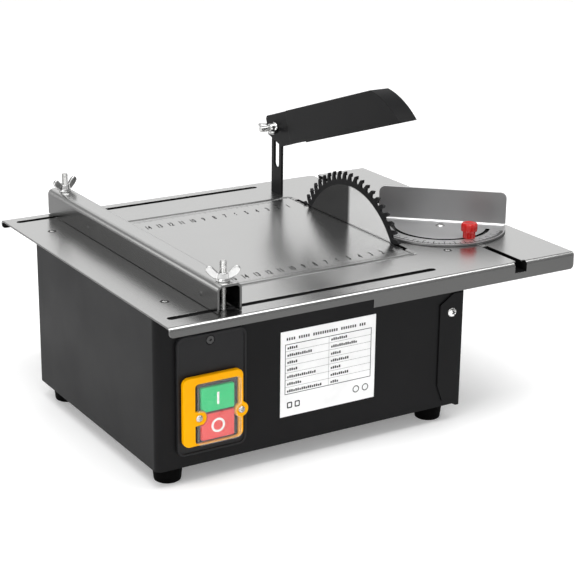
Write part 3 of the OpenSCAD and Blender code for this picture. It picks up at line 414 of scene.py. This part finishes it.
def ring_solid(name, profile, steps=48):
    """A turned piece whose profile of (radius, height) is a closed loop round a hole."""
    shell = bmesh.new()
    rings = []
    for i in range(steps):
        angle = 2 * math.pi * i / steps
        rings.append([shell.verts.new((r * math.cos(angle), r * math.sin(angle), z))
                      for r, z in profile])
    count = len(profile)
    for i in range(steps):
        near, far = rings[i], rings[(i + 1) % steps]
        for k in range(count):
            n = (k + 1) % count
            shell.faces.new((near[k], far[k], far[n], near[n]))
    bmesh.ops.recalc_face_normals(shell, faces=shell.faces)
    mesh = bpy.data.meshes.new(name)
    shell.to_mesh(mesh)
    shell.free()
    return mesh


def threaded_rod(name, radius, low, high, pitch=0.8, steps=20, per_turn=6):
    """A screw thread about z, as one surface whose radius follows a helix."""
    depth = pitch * 0.55
    rows = int((high - low) / pitch * per_turn)
    profile = []
    shell = bmesh.new()
    for row in range(rows + 1):
        height = low + (high - low) * row / rows
        ring = []
        for i in range(steps):
            phase = (height / pitch - i / steps) % 1.0
            end = min(1.0, (high - height) / pitch)
            r = radius - depth * abs(2 * phase - 1) - 0.25 * (1 - end)
            angle = 2 * math.pi * i / steps
            ring.append(shell.verts.new((r * math.cos(angle), r * math.sin(angle), height)))
        profile.append(ring)
    for lower, upper in zip(profile, profile[1:]):
        for i in range(steps):
            j = (i + 1) % steps
            shell.faces.new((lower[i], lower[j], upper[j], upper[i]))
    shell.faces.new(list(reversed(profile[0])))
    shell.faces.new(profile[-1])
    mesh = bpy.data.meshes.new(name)
    shell.to_mesh(mesh)
    shell.free()
    return mesh


def joined(name, meshes):
    """One mesh from several, which are used up."""
    shell = bmesh.new()
    for mesh in meshes:
        shell.from_mesh(mesh)
        bpy.data.meshes.remove(mesh)
    result = bpy.data.meshes.new(name)
    shell.to_mesh(result)
    shell.free()
    return result


def moved(mesh, offset=(0, 0, 0), turn=FLAT):
    """Turns and moves a mesh that is still in millimetres."""
    mesh.transform(Matrix.Translation(offset) @ turn)
    return mesh


def fused(mesh, voxel, smoothing):
    """Melts overlapping lumps into one cast-looking skin."""
    holder = bpy.data.objects.new(mesh.name, mesh)
    bpy.context.scene.collection.objects.link(holder)
    remesh = holder.modifiers.new("fuse", "REMESH")
    remesh.mode = "VOXEL"
    remesh.voxel_size = voxel
    smooth = holder.modifiers.new("soften", "SMOOTH")
    smooth.iterations = smoothing
    smooth.factor = 0.5
    graph = bpy.context.evaluated_depsgraph_get()
    result = bpy.data.meshes.new_from_object(holder.evaluated_get(graph))
    result.name = mesh.name
    bpy.data.objects.remove(holder)
    return result


def add_piece(mesh, body, slot, material=None, replaces=(), sharp=35.0):
    """Puts a finished mesh, in millimetres from the table's corner, on a body."""
    mesh.transform(Matrix.Translation(at(0, 0, 0)) @ Matrix.Scale(MM, 4))
    mesh.materials.clear()
    mesh.materials.append(material or MATERIALS[slot])
    mesh.shade_smooth()
    mesh.set_sharp_from_angle(angle=math.radians(sharp))
    for face in mesh.polygons:
        if max(abs(part) for part in face.normal) > 0.9999:
            face.use_smooth = False
    piece = bpy.data.objects.new(mesh.name, mesh)
    bpy.context.scene.collection.objects.link(piece)
    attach(piece, body)
    if replaces:
        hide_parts(*replaces)
    return piece


def quads(name, rectangles, plane, level):
    """Flat printed rectangles, each (x0, y0, x1, y1), in a plane at a level."""
    shell = bmesh.new()
    for x0, y0, x1, y1 in rectangles:
        corners = [shell.verts.new((x, y, 0)) for x, y in ((x0, y0), (x1, y0), (x1, y1), (x0, y1))]
        shell.faces.new(corners)
    mesh = bpy.data.meshes.new(name)
    shell.to_mesh(mesh)
    shell.free()
    return moved(mesh, level, plane)


def number_mesh(text, size, x, y, turn=0.0, narrow=1.0, lean=0.0, bold=0.0):
    """A number's flat shape, centred on x and y. narrow squeezes its width, lean slants it,
    and bold thickens its strokes."""
    curve = bpy.data.curves.new("number", "FONT")
    curve.body = text
    curve.size = size
    curve.shear = lean
    curve.offset = bold
    curve.align_x = "CENTER"
    curve.align_y = "CENTER"
    mesh = curve_to_mesh("number", curve)
    return moved(mesh, (x, y, 0), Matrix.Rotation(turn, 4, "Z") @ Matrix.Diagonal((narrow, 1, 1, 1)))


def phillips_cross(size, depth):
    """The recess of a cross-head screw as two flat crossed bars, which are coloured black as painted shade.
    """
    half, arm = size / 2, size * 0.13
    loop = [(-half, -arm), (-arm, -arm), (-arm, -half), (arm, -half), (arm, -arm), (half, -arm),
            (half, arm), (arm, arm), (arm, half), (-arm, half), (-arm, arm), (-half, arm)]
    return plate("cross", [loop], depth)


# ------------------------------------------------------------------ rulers on the insert

INSERT_LO, INSERT_HI = node_box("insert_plate")
MARK_LIFT = 0.05
CM = 10.0


def ruler(name, zero_x, edge_y, inward, number_y, count):
    """Millimetre marks that read leftwards from the blade, longer at each half and whole
    centimetre, with a number at each centimetre."""
    lengths = {0: 5.5, 5: 4.0}
    ticks = []
    for i in range(5, count * 10 + 5):
        x = zero_x - i
        length = lengths.get(i % 10, 2.6)
        ends = sorted((edge_y, edge_y + inward * length))
        ticks.append((x - 0.07, ends[0], x + 0.07, ends[1]))
    parts = [quads(name, ticks, FLAT, (0, 0, 0))]
    for i in range(1, count + 1):
        parts.append(number_mesh(str(i), 11.5, zero_x - i * CM, number_y, 0.0, 0.42, 0.35, 0.3))
    add_piece(moved(joined(name, parts), (0, 0, MARK_LIFT)), "saw_body", "stainless", ETCH)


ruler("ruler_front_marks", 238.2, INSERT_LO.y + 4.0, 1, 71.6, 15)
ruler("ruler_back_marks", 232.4, INSERT_HI.y - 4.0, -1, 216.0, 14)

# ------------------------------------------------------------------ table screws


def table_screw_pieces():
    """Domed cross-head screws, each sunk in a countersink, with painted shade: a black ring in the
    countersink and a black cross for the recess.
    """
    low, high = node_box("table_screws")
    head_r, sink, rise = 2.6, -0.6, 0.19
    heads, recess_shade = [], []
    for x in (low.x + head_r, high.x - head_r):
        for y in (low.y + head_r, high.y - head_r):
            screw = revolve("screw", [(1.95, low.z, 0), (1.95, -1.2, 0), (head_r - 0.05, sink - 0.1, 0),
                                      (head_r, sink, 0), (2.45, -0.35, 0), (2.1, -0.1, 0), (1.5, 0.07, 0),
                                      (0.8, 0.16, 0), (0.1, rise, 0)], 32)
            heads.append(moved(screw, (x, y, 0)))
            ring = plate("ring", [circle_points(0, 0, 3.32, 32), circle_points(0, 0, 1.95, 32)], 0.02)
            recess_shade.append(moved(ring, (x, y, -0.02)))
            cross = moved(phillips_cross(1.5, 0.02), turn=Matrix.Rotation(0.5, 4, "Z"))
            recess_shade.append(moved(cross, (x, y, rise)))
    add_piece(joined("table_screw_heads", heads), "saw_body", "zinc_screw", HEAD_METAL, ("table_screws",))
    add_piece(joined("table_screw_recess_shade", recess_shade), "saw_body", "zinc_screw", INK_AND_SHADE)


def panel_screw_pieces():
    """The side panel's two domed screws, with black crosses as painted shade for their recesses."""
    low, high = node_box("panel_screws")
    head_r, head_h = 3.8, 2.4
    x, z = (low.x + high.x) / 2, (low.z + high.z) / 2
    forward = Matrix.Rotation(math.radians(90), 4, "X")
    for name, y, turn in (("front", low.y, forward), ("rear", high.y, forward.inverted())):
        profile = [(2.0, -6.0, 0), (2.0, 0.0, 0), (head_r, 0.02, 0), (head_r - 0.3, 0.7, 0),
                   (head_r - 0.9, 1.35, 0), (head_r - 1.8, 1.95, 0), (1.0, 2.25, 0), (0.1, 2.38, 0)]
        side = 1 if name == "front" else -1
        place = (x, y + side * head_h, z)
        screw = moved(revolve("panel_screw_" + name, profile, 40), place, turn)
        replaced = ("panel_screws",) if name == "front" else ()
        add_piece(screw, "saw_body", "zinc_screw", HEAD_METAL, replaced)
        cross = moved(phillips_cross(3.2, 0.5), turn=Matrix.Rotation(0.35, 4, "Z"))
        mark = moved(moved(cross, (0, 0, 2.14)), place, turn)
        mark.name = "panel_screw_cross_" + name
        add_piece(mark, "saw_body", "zinc_screw", INK_AND_SHADE)


table_screw_pieces()
panel_screw_pieces()

# ------------------------------------------------------------------ dark slots

# The table sheet's underside, and where the dark lining of a cut edge stops below its top
UNDERSIDE, LINING_TOP = -1.2, -0.1


def lining(name, loop, low_z, high_z, body, slot, place=(0, 0, 0), turn=FLAT):
    """A dark band round the inside of a slot: painted shadow where the sheet's cut edge is in shade."""
    shell = bmesh.new()
    rows = [[shell.verts.new((x, y, z)) for x, y in loop] for z in (low_z, high_z)]
    for i in range(len(loop)):
        j = (i + 1) % len(loop)
        shell.faces.new((rows[0][i], rows[1][i], rows[1][j], rows[0][j]))
    mesh = bpy.data.meshes.new(name)
    shell.to_mesh(mesh)
    shell.free()
    add_piece(moved(mesh, place, turn), body, slot, PAINTED_SHADOW)


def table_linings():
    """Painted shadow in the fence's two slots, the blade's slot and the miter slot's floor and sides, and a
    painted highlight by the blade slot.
    """
    gap, half_width = 0.03, 2.8
    left, right = 8, 230
    for name, y in (("front", 18.4), ("rear", 281.0)):
        low = (left + gap, y - half_width + gap)
        high = (right - gap, y + half_width - gap)
        loop = rounded_loop(low, high, half_width - gap, 10)
        lining("slot_lining_" + name, loop, UNDERSIDE, LINING_TOP, "saw_body", "stainless")
    left, right, front, back = 237.5, 241.5, 70, 230
    blade_slot = [(left + gap, front + gap), (right - gap, front + gap),
                  (right - gap, back - gap), (left + gap, back - gap)]
    lining("slot_lining_blade", blade_slot, UNDERSIDE, LINING_TOP, "saw_body", "stainless")
    # A painted highlight: a bright strip along the blade slot's left edge
    rim = bpy.data.meshes.new("blade_slot_rim")
    corners = [(left - 0.9, front, 0.08), (left, front, -0.1), (left, back, -0.1), (left - 0.9, back, 0.08)]
    rim.from_pydata(corners, [], [(0, 1, 2, 3)])
    add_piece(rim, "saw_body", "stainless", PAINTED_HIGHLIGHT)
    middle, half, floor, deep = 296.5, 5.5 - gap, -8 + gap, 293.9
    shell = bmesh.new()
    top = UNDERSIDE - gap
    section = [(middle - half, top), (middle - half, floor), (middle + half, floor), (middle + half, top)]
    near, far = ([shell.verts.new((x, y, z)) for x, z in section] for y in (0.1, deep))
    for i in range(len(section) - 1):
        shell.faces.new((near[i], near[i + 1], far[i + 1], far[i]))
    for side in (-1, 1):
        x = middle + side * (2.7 - gap)
        corners = ((x, 3.7, UNDERSIDE), (x, 3.7, LINING_TOP), (x, 290.2, LINING_TOP), (x, 290.2, UNDERSIDE))
        shell.faces.new([shell.verts.new(corner) for corner in corners])
    mesh = bpy.data.meshes.new("miter_slot_lining")
    shell.to_mesh(mesh)
    shell.free()
    add_piece(mesh, "saw_body", "stainless", PAINTED_SHADOW)


table_linings()

# ------------------------------------------------------------------ wing nuts and studs


def wing_nut_mesh(name):
    """A cast wing nut standing on z = 0 with its wings along x, in millimetres."""
    bore, tip = 2.56, 2.75
    base = ring_solid("base", [(bore, 0.0), (4.9, 0.0), (5.05, 0.7), (4.3, 2.0), (3.8, 5.9),
                               (3.4, 6.2), (bore, 6.2)])
    wing = [(3.0, 0.9), (6.2, 1.4), (9.4, 4.0)]
    wing += circle_points(9.3, 8.0, tip, 10, -40.0, 140.0)
    wing += [(7.2, 9.9), (4.8, 7.4), (3.2, 5.6)]
    parts = [base]
    for side in (0, math.pi):
        blade = moved(plate("wing", [wing], 2.7, 0.8, 3), (0, 0, 0), FRONT)
        parts.append(moved(blade, (0, 0, 0), Matrix.Rotation(side, 4, "Z")))
    return fused(joined(name, parts), 0.24, 4)


def fence_nut(name, body, node, turn):
    """One of the fence's wing nuts, with its wings turned by an angle in degrees."""
    low, high = node_box(node)
    x, y = (low.x + high.x) / 2, (low.y + high.y) / 2
    spin = Matrix.Rotation(math.radians(turn), 4, "Z")
    mesh = moved(wing_nut_mesh(name), (x, y, low.z), spin)
    add_piece(mesh, body, "bright_nut", replaces=(node,), sharp=60)


fence_nut("wing_nut_front", "fence_nut_front", "fence_nut_front", -24)
fence_nut("wing_nut_rear", "fence_nut_rear", "fence_nut_rear", 18)


def guard_nut():
    """The guard's wing nut, on its side against the hood's ear, with its wings along the table."""
    low, high = node_box("guard_wing_nut")
    lean = Matrix.Rotation(math.radians(98), 4, "X") @ Matrix.Rotation(math.radians(-90), 4, "Y")
    mesh = moved(wing_nut_mesh("wing_nut_guard"), (high.x, (low.y + high.y) / 2, (low.z + high.z) / 2), lean)
    add_piece(mesh, "guard_wing_nut", "bright_nut", replaces=("guard_wing_nut",), sharp=60)


guard_nut()


def fence_stud_pieces():
    """Two threaded studs with hexagon heads under the table."""
    low, high = node_box("fence_studs")
    head_h, head_r, stud_r = 3.5, 4.6, 2.5
    x = (low.x + high.x) / 2
    parts = []
    for y in (low.y + head_r * math.cos(math.radians(30)), high.y - head_r * math.cos(math.radians(30))):
        rod = threaded_rod("rod", stud_r, head_h - 0.2, high.z - low.z)
        head = revolve("head", [(head_r - 0.4, 0.0, 0), (head_r, 0.3, 0), (head_r, head_h, 0)], 6)
        parts.append(moved(joined("stud", [rod, head]), (x, y, low.z)))
    add_piece(joined("fence_stud_threads", parts), "fence", "zinc_screw", replaces=("fence_studs",))


fence_stud_pieces()


def fence_dimples():
    """Spot-weld dimples on the fence's left wall."""
    low, _ = node_box("fence_channel")
    turn = Matrix.Rotation(math.radians(-90), 4, "Y")
    parts = []
    for y, z in ((216.9, 7.3), (32.5, 8.3)):
        dome = revolve("dome", [(2.2, 0.0, 0), (1.7, 0.12, 0), (1.0, 0.22, 0), (0.3, 0.26, 0)], 24)
        parts.append(moved(dome, (low.x + 0.02, y, z), turn))
    add_piece(joined("fence_dimples", parts), "fence", "stainless")


fence_dimples()

# ------------------------------------------------------------------ miter gauge

PLATE_LO, PLATE_HI = node_box("miter_plate")
KNOB_LO, KNOB_HI = node_box("miter_knob")
PIVOT_LO, PIVOT_HI = node_box("miter_pivot_screw")
PIVOT = ((PIVOT_LO.x + PIVOT_HI.x) / 2, (PIVOT_LO.y + PIVOT_HI.y) / 2)
MITER_REST = math.radians(-42)
PLATE_TOP = 1.8


def miter_scale():
    """Degree marks and numbers along the protractor's rim, on its own body."""
    outer = 51.0
    shell = bmesh.new()
    for degree in range(5, 176, 1):
        length = 5.0 if degree % 10 == 0 else 3.8 if degree % 5 == 0 else 2.4
        angle = math.radians(-degree)
        along = Vector((math.cos(angle), math.sin(angle), 0))
        across = Vector((-along.y, along.x, 0)) * (0.34 if degree % 5 == 0 else 0.2)
        near, far = along * (outer - length), along * outer
        corners = (near - across, far - across, far + across, near + across)
        shell.faces.new([shell.verts.new(corner) for corner in corners])
    marks = bpy.data.meshes.new("miter_scale_marks")
    shell.to_mesh(marks)
    shell.free()
    parts = [marks]
    for degree in range(20, 161, 10):
        value = abs(90 - degree)
        angle = math.radians(-degree)
        x, y = 44.6 * math.cos(angle), 44.6 * math.sin(angle)
        parts.append(number_mesh(str(value), 2.3, x, y, angle + math.pi / 2))
    turn = Matrix.Rotation(MITER_REST, 4, "Z")
    mesh = moved(joined("miter_scale_marks", parts), (*PIVOT, PLATE_TOP + MARK_LIFT), turn)
    add_piece(mesh, "miter_plate", "dark_steel", ETCH)


miter_scale()


def miter_fold():
    """The rounded inner bend between the protractor and its upright face, in bright steel as a painted
    highlight.
    """
    chord, half, bend, steps = 13.0, 50.2, 1.0, 8
    shell = bmesh.new()
    rows = []
    for i in range(steps + 1):
        angle = math.radians(90.0 * i / steps)
        y, z = chord - bend + bend * math.sin(angle), bend - bend * math.cos(angle)
        rows.append([shell.verts.new((x, y, z)) for x in (-half, half)])
    for near, far in zip(rows, rows[1:]):
        shell.faces.new((near[0], near[1], far[1], far[0]))
    mesh = bpy.data.meshes.new("miter_fold")
    shell.to_mesh(mesh)
    shell.free()
    mesh = moved(mesh, (*PIVOT, PLATE_TOP + 0.01), Matrix.Rotation(MITER_REST, 4, "Z"))
    add_piece(mesh, "miter_plate", "dark_steel", PAINTED_HIGHLIGHT)


miter_fold()


def arc_lining():
    """Painted shadow inside the protractor's curved slot, on its own body."""
    radius, half = 38.2, 1.67
    right, left = [(radius * math.cos(math.radians(end)), radius * math.sin(math.radians(end)))
                   for end in (-3, 183)]
    loop = circle_points(0, 0, radius + half, 60, -177.0, 174.0)
    loop += circle_points(*right, half, 8, -3, 180)
    loop += reversed(circle_points(0, 0, radius - half, 60, -177.0, 174.0))
    loop += circle_points(*left, half, 8, 3, 180)
    turn = Matrix.Rotation(MITER_REST, 4, "Z")
    lining("arc_slot_lining", loop, 0.3, PLATE_TOP - 0.1, "miter_plate", "dark_steel", (*PIVOT, 0), turn)


arc_lining()


def knob_piece():
    """The lock knob: a ribbed neck under a wider grip with soft flutes."""
    profile = [(4.6, 0.0, 0.5), (4.9, 0.3, 1.3), (4.9, 4.2, 1.3), (5.0, 4.8, 0.8), (6.0, 5.4, 0.3),
               (6.45, 6.0, 0.5), (6.5, 9.8, 0.5), (6.35, 11.0, 0.3), (5.8, 11.8, 0.1),
               (4.8, 12.15, 0.0), (3.0, 12.2, 0.0), (2.6, 11.9, 0.0), (0.6, 11.9, 0.0)]
    x, y = (KNOB_LO.x + KNOB_HI.x) / 2, (KNOB_LO.y + KNOB_HI.y) / 2
    mesh = moved(revolve("lock_knob", profile, 96, 12), (x, y, KNOB_LO.z))
    add_piece(mesh, "miter_knob", "red_plastic", KNOB_RED, ("miter_knob",), 40)


knob_piece()

# ------------------------------------------------------------------ blade


def blade_piece():
    """The saw blade: hooked teeth with deep gullets and carbide tips."""
    low, high = node_box("saw_blade")
    x, y, z = (low + high) / 2
    radius = (high.z - low.z) / 2
    teeth, root, bore = 60, radius - 7.0, 6.0
    pitch = 360.0 / teeth
    outline = []
    for i in range(teeth):
        start = i * pitch
        steps = ((root, -0.84), (root + 0.5, -0.68), (root + 2.4, -0.56), (radius - 2.4, -0.42),
                 (radius - 1.4, -0.34), (radius - 0.1, -0.03), (radius - 0.1, 0.0), (root + 2.4, -0.13),
                 (root + 0.8, -0.12), (root + 0.1, -0.02))
        for r, shift in steps:
            angle = math.radians(start + shift * pitch)
            outline.append((r * math.cos(angle), r * math.sin(angle)))
    core = plate("core", [outline, circle_points(0, 0, bore + 0.02, 48)], 1.8, 0.12, 1)
    tips = []
    for i in range(teeth):
        tip = plate("tip", [[(radius - 3.2, -1.0), (radius - 0.8, -1.5), (radius - 0.02, 0.0),
                             (radius - 3.0, 0.1)]], 2.6, 0.1, 1)
        tips.append(moved(tip, (0, 0, 0), Matrix.Rotation(math.radians(i * pitch), 4, "Z")))
    mesh = moved(joined("toothed_blade", [core] + tips), (x, y, z), SIDE)
    add_piece(mesh, "blade", "saw_steel", replaces=("saw_blade",), sharp=15)


blade_piece()

# ------------------------------------------------------------------ switch

FLANGE_LO, FLANGE_HI = node_box("switch_flange")
SWITCH_LO, SWITCH_HI = node_box("switch_plate")
EARS = ((31.4, 6.0), (65.1, 5.6))
EAR_Z = -77.5


def bitten_box(low, high, corner, bites, steps=5):
    """A rounded rectangle with round bites out of its sides, found by marching its edge."""
    loop = rounded_loop(low, high, corner, steps)
    dense = []
    for (x0, y0), (x1, y1) in zip(loop, loop[1:] + loop[:1]):
        count = max(1, int(math.hypot(x1 - x0, y1 - y0) / 0.4))
        dense += [(x0 + (x1 - x0) * i / count, y0 + (y1 - y0) * i / count) for i in range(count)]
    pushed = []
    for x, y in dense:
        for bite_x, bite_y, radius in bites:
            away = math.hypot(x - bite_x, y - bite_y)
            if away < radius:
                inward = math.sqrt(max(radius ** 2 - (y - bite_y) ** 2, 0.0))
                middle = (low[0] + high[0]) / 2
                x = bite_x + (inward if middle > bite_x else -inward)
        pushed.append((x, y))
    return pushed


def switch_pieces():
    """The switch's back plate and its yellow flange."""
    rim = rounded_loop((SWITCH_LO.x, SWITCH_LO.z), (SWITCH_HI.x, SWITCH_HI.z), 6.0, 8)
    hole = rounded_loop((28.6, -96.8), (62.9, -52.1), 1.0, 3)
    screw_hole = circle_points(42.6, -22.4, 3.4, 24)
    back = moved(plate("back", [rim, hole, screw_hole], 2.2, 0.3, 2), (0, SWITCH_HI.y - 1.1, 0), FRONT)
    rim_width = 1.7
    inner = rounded_loop((SWITCH_LO.x + rim_width, SWITCH_LO.z + rim_width),
                         (SWITCH_HI.x - rim_width, SWITCH_HI.z - rim_width), 4.3, 8)
    border = moved(plate("border", [rim, inner], 0.9, 0.4, 3), (0, SWITCH_LO.y + 0.45, 0), FRONT)
    add_piece(joined("switch_back_plate", [back, border]), "saw_body", "dark_plastic",
              replaces=("switch_plate",))

    outer = rounded_loop((19.0, -98.0), (66.6, -46.5), 5.0, 8)
    bites = [(x, EAR_Z, r) for x, r in EARS]
    window = bitten_box((28.5, -96.9), (63.0, -52.0), 2.5, bites)
    deep = FLANGE_HI.y - FLANGE_LO.y
    bezel = plate("bezel", [outer, window], deep, 0.7, 3)
    ear = plate("ear", [circle_points(EARS[1][0], EAR_Z, EARS[1][1], 40)], deep - 0.02, 0.7, 3)
    mesh = joined("switch_bezel", [bezel, ear])
    middle = (FLANGE_LO.y + FLANGE_HI.y) / 2
    add_piece(moved(mesh, (0, middle, 0), FRONT), "saw_body", "yellow_plastic",
              replaces=("switch_flange",), sharp=50)


def button_piece(name, node, mark, slot):
    """A button with a softly rounded face and its raised white mark."""
    low, high = node_box(node)
    bites = [(x, EAR_Z, r + 0.3) for x, r in EARS]
    loop = bitten_box((low.x, low.z), (high.x, high.z), 1.2, bites, 4)
    deep = high.y - low.y - 0.02
    cap = moved(plate(name, [loop], deep, 0.6, 3), (0, low.y + deep / 2 + 0.01, 0), FRONT)
    add_piece(cap, node, slot, replaces=(node,), sharp=50)
    x, z = (low.x + high.x) / 2, (low.z + high.z) / 2
    if mark == "bar":
        loops = [rounded_loop((x - 0.9, z - 4.6), (x + 0.9, z + 4.6), 0.5, 3)]
    else:
        loops = [circle_points(x, z, 5.4, 48), circle_points(x, z, 3.7, 48)]
    sign = moved(plate(name + "_mark", loops, 0.12), (0, low.y - 0.02, 0), FRONT)
    add_piece(sign, node, slot, WHITE_MARK)


def cover_piece():
    """The clear cover: a hollow blister with rounded edges over both buttons."""
    low, high = node_box("switch_cover")
    bites = [(x, EAR_Z, r - 0.6) for x, r in EARS]
    outer = bitten_box((low.x, low.z), (high.x, high.z), 3.2, bites)
    inner = bitten_box((low.x + 0.8, low.z + 0.8), (high.x - 0.8, high.z - 0.8), 2.4,
                       [(x, z, r + 0.8) for x, z, r in bites])
    face = moved(plate("face", [outer], 0.7, 0.3, 3), (0, low.y + 0.35, 0), FRONT)
    deep = high.y - low.y - 0.5
    wall = moved(plate("wall", [outer, inner], deep, 0.0), (0, high.y - deep / 2, 0), FRONT)
    add_piece(joined("clear_cover", [face, wall]), "saw_body", "clear_plastic",
              replaces=("switch_cover",), sharp=50)


switch_pieces()
button_piece("start_cap", "start_button", "bar", "green_plastic")
button_piece("stop_cap", "stop_button", "ring", "red_plastic")
cover_piece()

# ------------------------------------------------------------------ label

LABEL_LO, LABEL_HI = node_box("rating_label")
# How many strokes stand for the words in each row's two columns
NAME_LENGTHS = (5, 12, 5, 5, 14, 7, 17)
VALUE_LENGTHS = (8, 13, 5, 9, 5, 9, 4)


def label_marks():
    """A generic table of plain bars on the label: a heading, seven rows, and small signs."""
    width, height = LABEL_HI.x - LABEL_LO.x, LABEL_HI.z - LABEL_LO.z
    left, top = LABEL_LO.x + 0.045 * width, LABEL_HI.z - 0.15 * height
    right, bottom = LABEL_HI.x - 0.045 * width, LABEL_HI.z - 0.74 * height
    rows, split = 7, left + 0.5 * (right - left)
    step = (top - bottom) / rows
    line, thin = 0.5, 0.2
    frame_lines = [(left, top - line, right, top), (left, bottom, right, bottom + line),
                   (left, bottom, left + line, top), (right - line, bottom, right, top)]
    rules = [(left, bottom + i * step, right, bottom + i * step + thin) for i in range(1, rows)]
    rules.append((split, bottom, split + thin, top))
    bars = []
    heading = (4, 5, 11, 7, 3)
    x = left + 0.015 * width
    for count in heading:
        for i in range(count):
            bars.append((x, top + 2.8, x + 1.2, top + 4.9))
            x += 1.95
        x += 2.4
    for row in range(rows):
        base = top - (row + 0.72) * step
        for start, count in ((left + 2.0, NAME_LENGTHS[row]), (split + 2.0, VALUE_LENGTHS[row])):
            for i in range(count):
                tall = 2.0 if i % 3 else 1.5
                bars.append((start + i * 1.75, base, start + i * 1.75 + 1.25, base + tall))
    plane_at = (0, LABEL_LO.y - MARK_LIFT, 0)
    add_piece(quads("label_table", frame_lines + bars, FRONT, plane_at), "saw_body", "label", INK_AND_SHADE)
    add_piece(quads("label_rules", rules, FRONT, plane_at), "saw_body", "label", SOFT_INK)
    signs = []
    middle = LABEL_LO.z + 0.13 * height
    for x in (LABEL_LO.x + 0.07 * width, LABEL_LO.x + 0.15 * width):
        outer = rounded_loop((x, middle - 2.4), (x + 4.4, middle + 2.4), 0.8, 3)
        hole = rounded_loop((x + 0.9, middle - 1.5), (x + 3.5, middle + 1.5), 0.4, 3)
        signs.append(plate("sign", [outer, hole], 0.01))
    for x in (LABEL_HI.x - 0.2 * width, LABEL_HI.x - 0.1 * width):
        signs.append(plate("sign", [circle_points(x, middle + 1.0, 2.8, 32),
                                    circle_points(x, middle + 1.0, 2.1, 32)], 0.01))
    mesh = moved(joined("label_signs", signs), plane_at, FRONT)
    add_piece(mesh, "saw_body", "label", INK_AND_SHADE)


label_marks()

# ------------------------------------------------------------------ feet


def foot_pieces():
    """Four tapered rubber feet with rounded rims and a stepped hole for a screw."""
    low, high = node_box("feet")
    tall, top_r, low_r = high.z - low.z, 11.2, 9.8
    profile = [(4.6, 0.3), (5.0, 0.0), (low_r - 0.9, 0.0), (low_r - 0.2, 0.5), (low_r + 0.1, 1.4),
               (top_r - 0.05, tall - 1.0), (top_r - 0.3, tall - 0.3), (top_r - 1.0, tall), (2.2, tall),
               (2.2, 8.0), (4.6, 8.0)]
    parts = []
    for x in (low.x + top_r, high.x - top_r):
        for y in (low.y + top_r, high.y - top_r):
            parts.append(moved(ring_solid("foot", profile), (x, y, low.z)))
    add_piece(joined("rubber_feet", parts), "saw_body", "rubber", replaces=("feet",))


foot_pieces()

# ------------------------------------------------------------------ stage, lights, camera


def stage_floor():
    """A pale floor that glows faintly, so that it stays white to the picture's edges."""
    floor = bpy.data.meshes.new("floor")
    reach = 12.0
    floor.from_pydata([(-reach, -reach, 0), (reach, -reach, 0), (reach, reach, 0), (-reach, reach, 0)],
                      [], [(0, 1, 2, 3)])
    material, _, shader = new_material("pale_floor", (0.9, 0.9, 0.9), 0.0, 0.75)
    shader.inputs["Emission Color"].default_value = (1, 1, 1, 1)
    shader.inputs["Emission Strength"].default_value = 0.22
    floor.materials.append(material)
    piece = bpy.data.objects.new("floor", floor)
    bpy.context.scene.collection.objects.link(piece)


def soft_box(name, azimuth, elevation, distance, size, power, target=Vector((0, 0, 0.1))):
    """A square-cornered area lamp aimed at the saw. Azimuth is to the right of straight back."""
    a, e = math.radians(azimuth), math.radians(elevation)
    towards = Vector((math.sin(a) * math.cos(e), math.cos(a) * math.cos(e), math.sin(e)))
    lamp = bpy.data.lights.new(name, "AREA")
    lamp.shape = "RECTANGLE"
    lamp.size, lamp.size_y = size
    lamp.energy = power
    holder = bpy.data.objects.new(name, lamp)
    holder.location = target + towards * distance
    holder.rotation_euler = towards.to_track_quat("Z", "Y").to_euler()
    holder.visible_camera = False
    bpy.context.scene.collection.objects.link(holder)


def sky():
    """A plain studio dome: bright straight overhead, with a dim band below that."""
    world = bpy.data.worlds.new("studio")
    bpy.context.scene.world = world
    world.use_nodes = True
    tree = world.node_tree
    background = tree.nodes["Background"]
    coords = tree.nodes.new("ShaderNodeTexCoord")
    split = tree.nodes.new("ShaderNodeSeparateXYZ")
    tree.links.new(coords.outputs["Generated"], split.inputs["Vector"])
    band = spread(tree, split.outputs["Z"], 0.4, 0.15, 0.42, 0.7)
    total = tree.nodes.new("ShaderNodeMath")
    total.operation = "ADD"
    tree.links.new(band, total.inputs[0])
    tree.links.new(spread(tree, split.outputs["Z"], 0.0, 1.1, 0.74, 0.88), total.inputs[1])
    background.inputs["Color"].default_value = (1, 1, 1, 1)
    tree.links.new(total.outputs[0], background.inputs["Strength"])


def camera_view():
    """The photograph's viewing angle: from the front left, a little above."""
    yaw, pitch, roll = math.radians(31.438), math.radians(18.691), math.radians(0.644)
    forward = Vector((math.sin(yaw) * math.cos(pitch), math.cos(yaw) * math.cos(pitch), -math.sin(pitch)))
    right = Vector((math.cos(yaw), -math.sin(yaw), 0))
    up = right.cross(forward)
    right_rolled = right * math.cos(roll) + up * math.sin(roll)
    up_rolled = up * math.cos(roll) - right * math.sin(roll)
    lens = bpy.data.cameras.new("camera")
    lens.lens = 103.48
    lens.clip_end = 50.0
    holder = bpy.data.objects.new("camera", lens)
    turn = Matrix((right_rolled, up_rolled, -forward)).transposed().to_4x4()
    holder.matrix_world = Matrix.Translation(at(-469.2, -916.5, 377.4)) @ turn
    bpy.context.scene.collection.objects.link(holder)
    bpy.context.scene.camera = holder


bpy.context.scene.view_settings.view_transform = "Standard"
stage_floor()
sky()
soft_box("back_box", 24, 23, 2.2, (2.3, 1.2), 6.0)
soft_box("top_strip", 180, 76, 1.6, (2.4, 0.8), 20, Vector((0.1, 0, 0.1)))
soft_box("left_box", -110, 25, 1.8, (1.4, 0.9), 8)
soft_box("far_left_box", -44, 13, 2.4, (1.2, 0.8), 3.8)
soft_box("front_box", -160, 22, 2.6, (1.8, 1.2), 9)
camera_view()
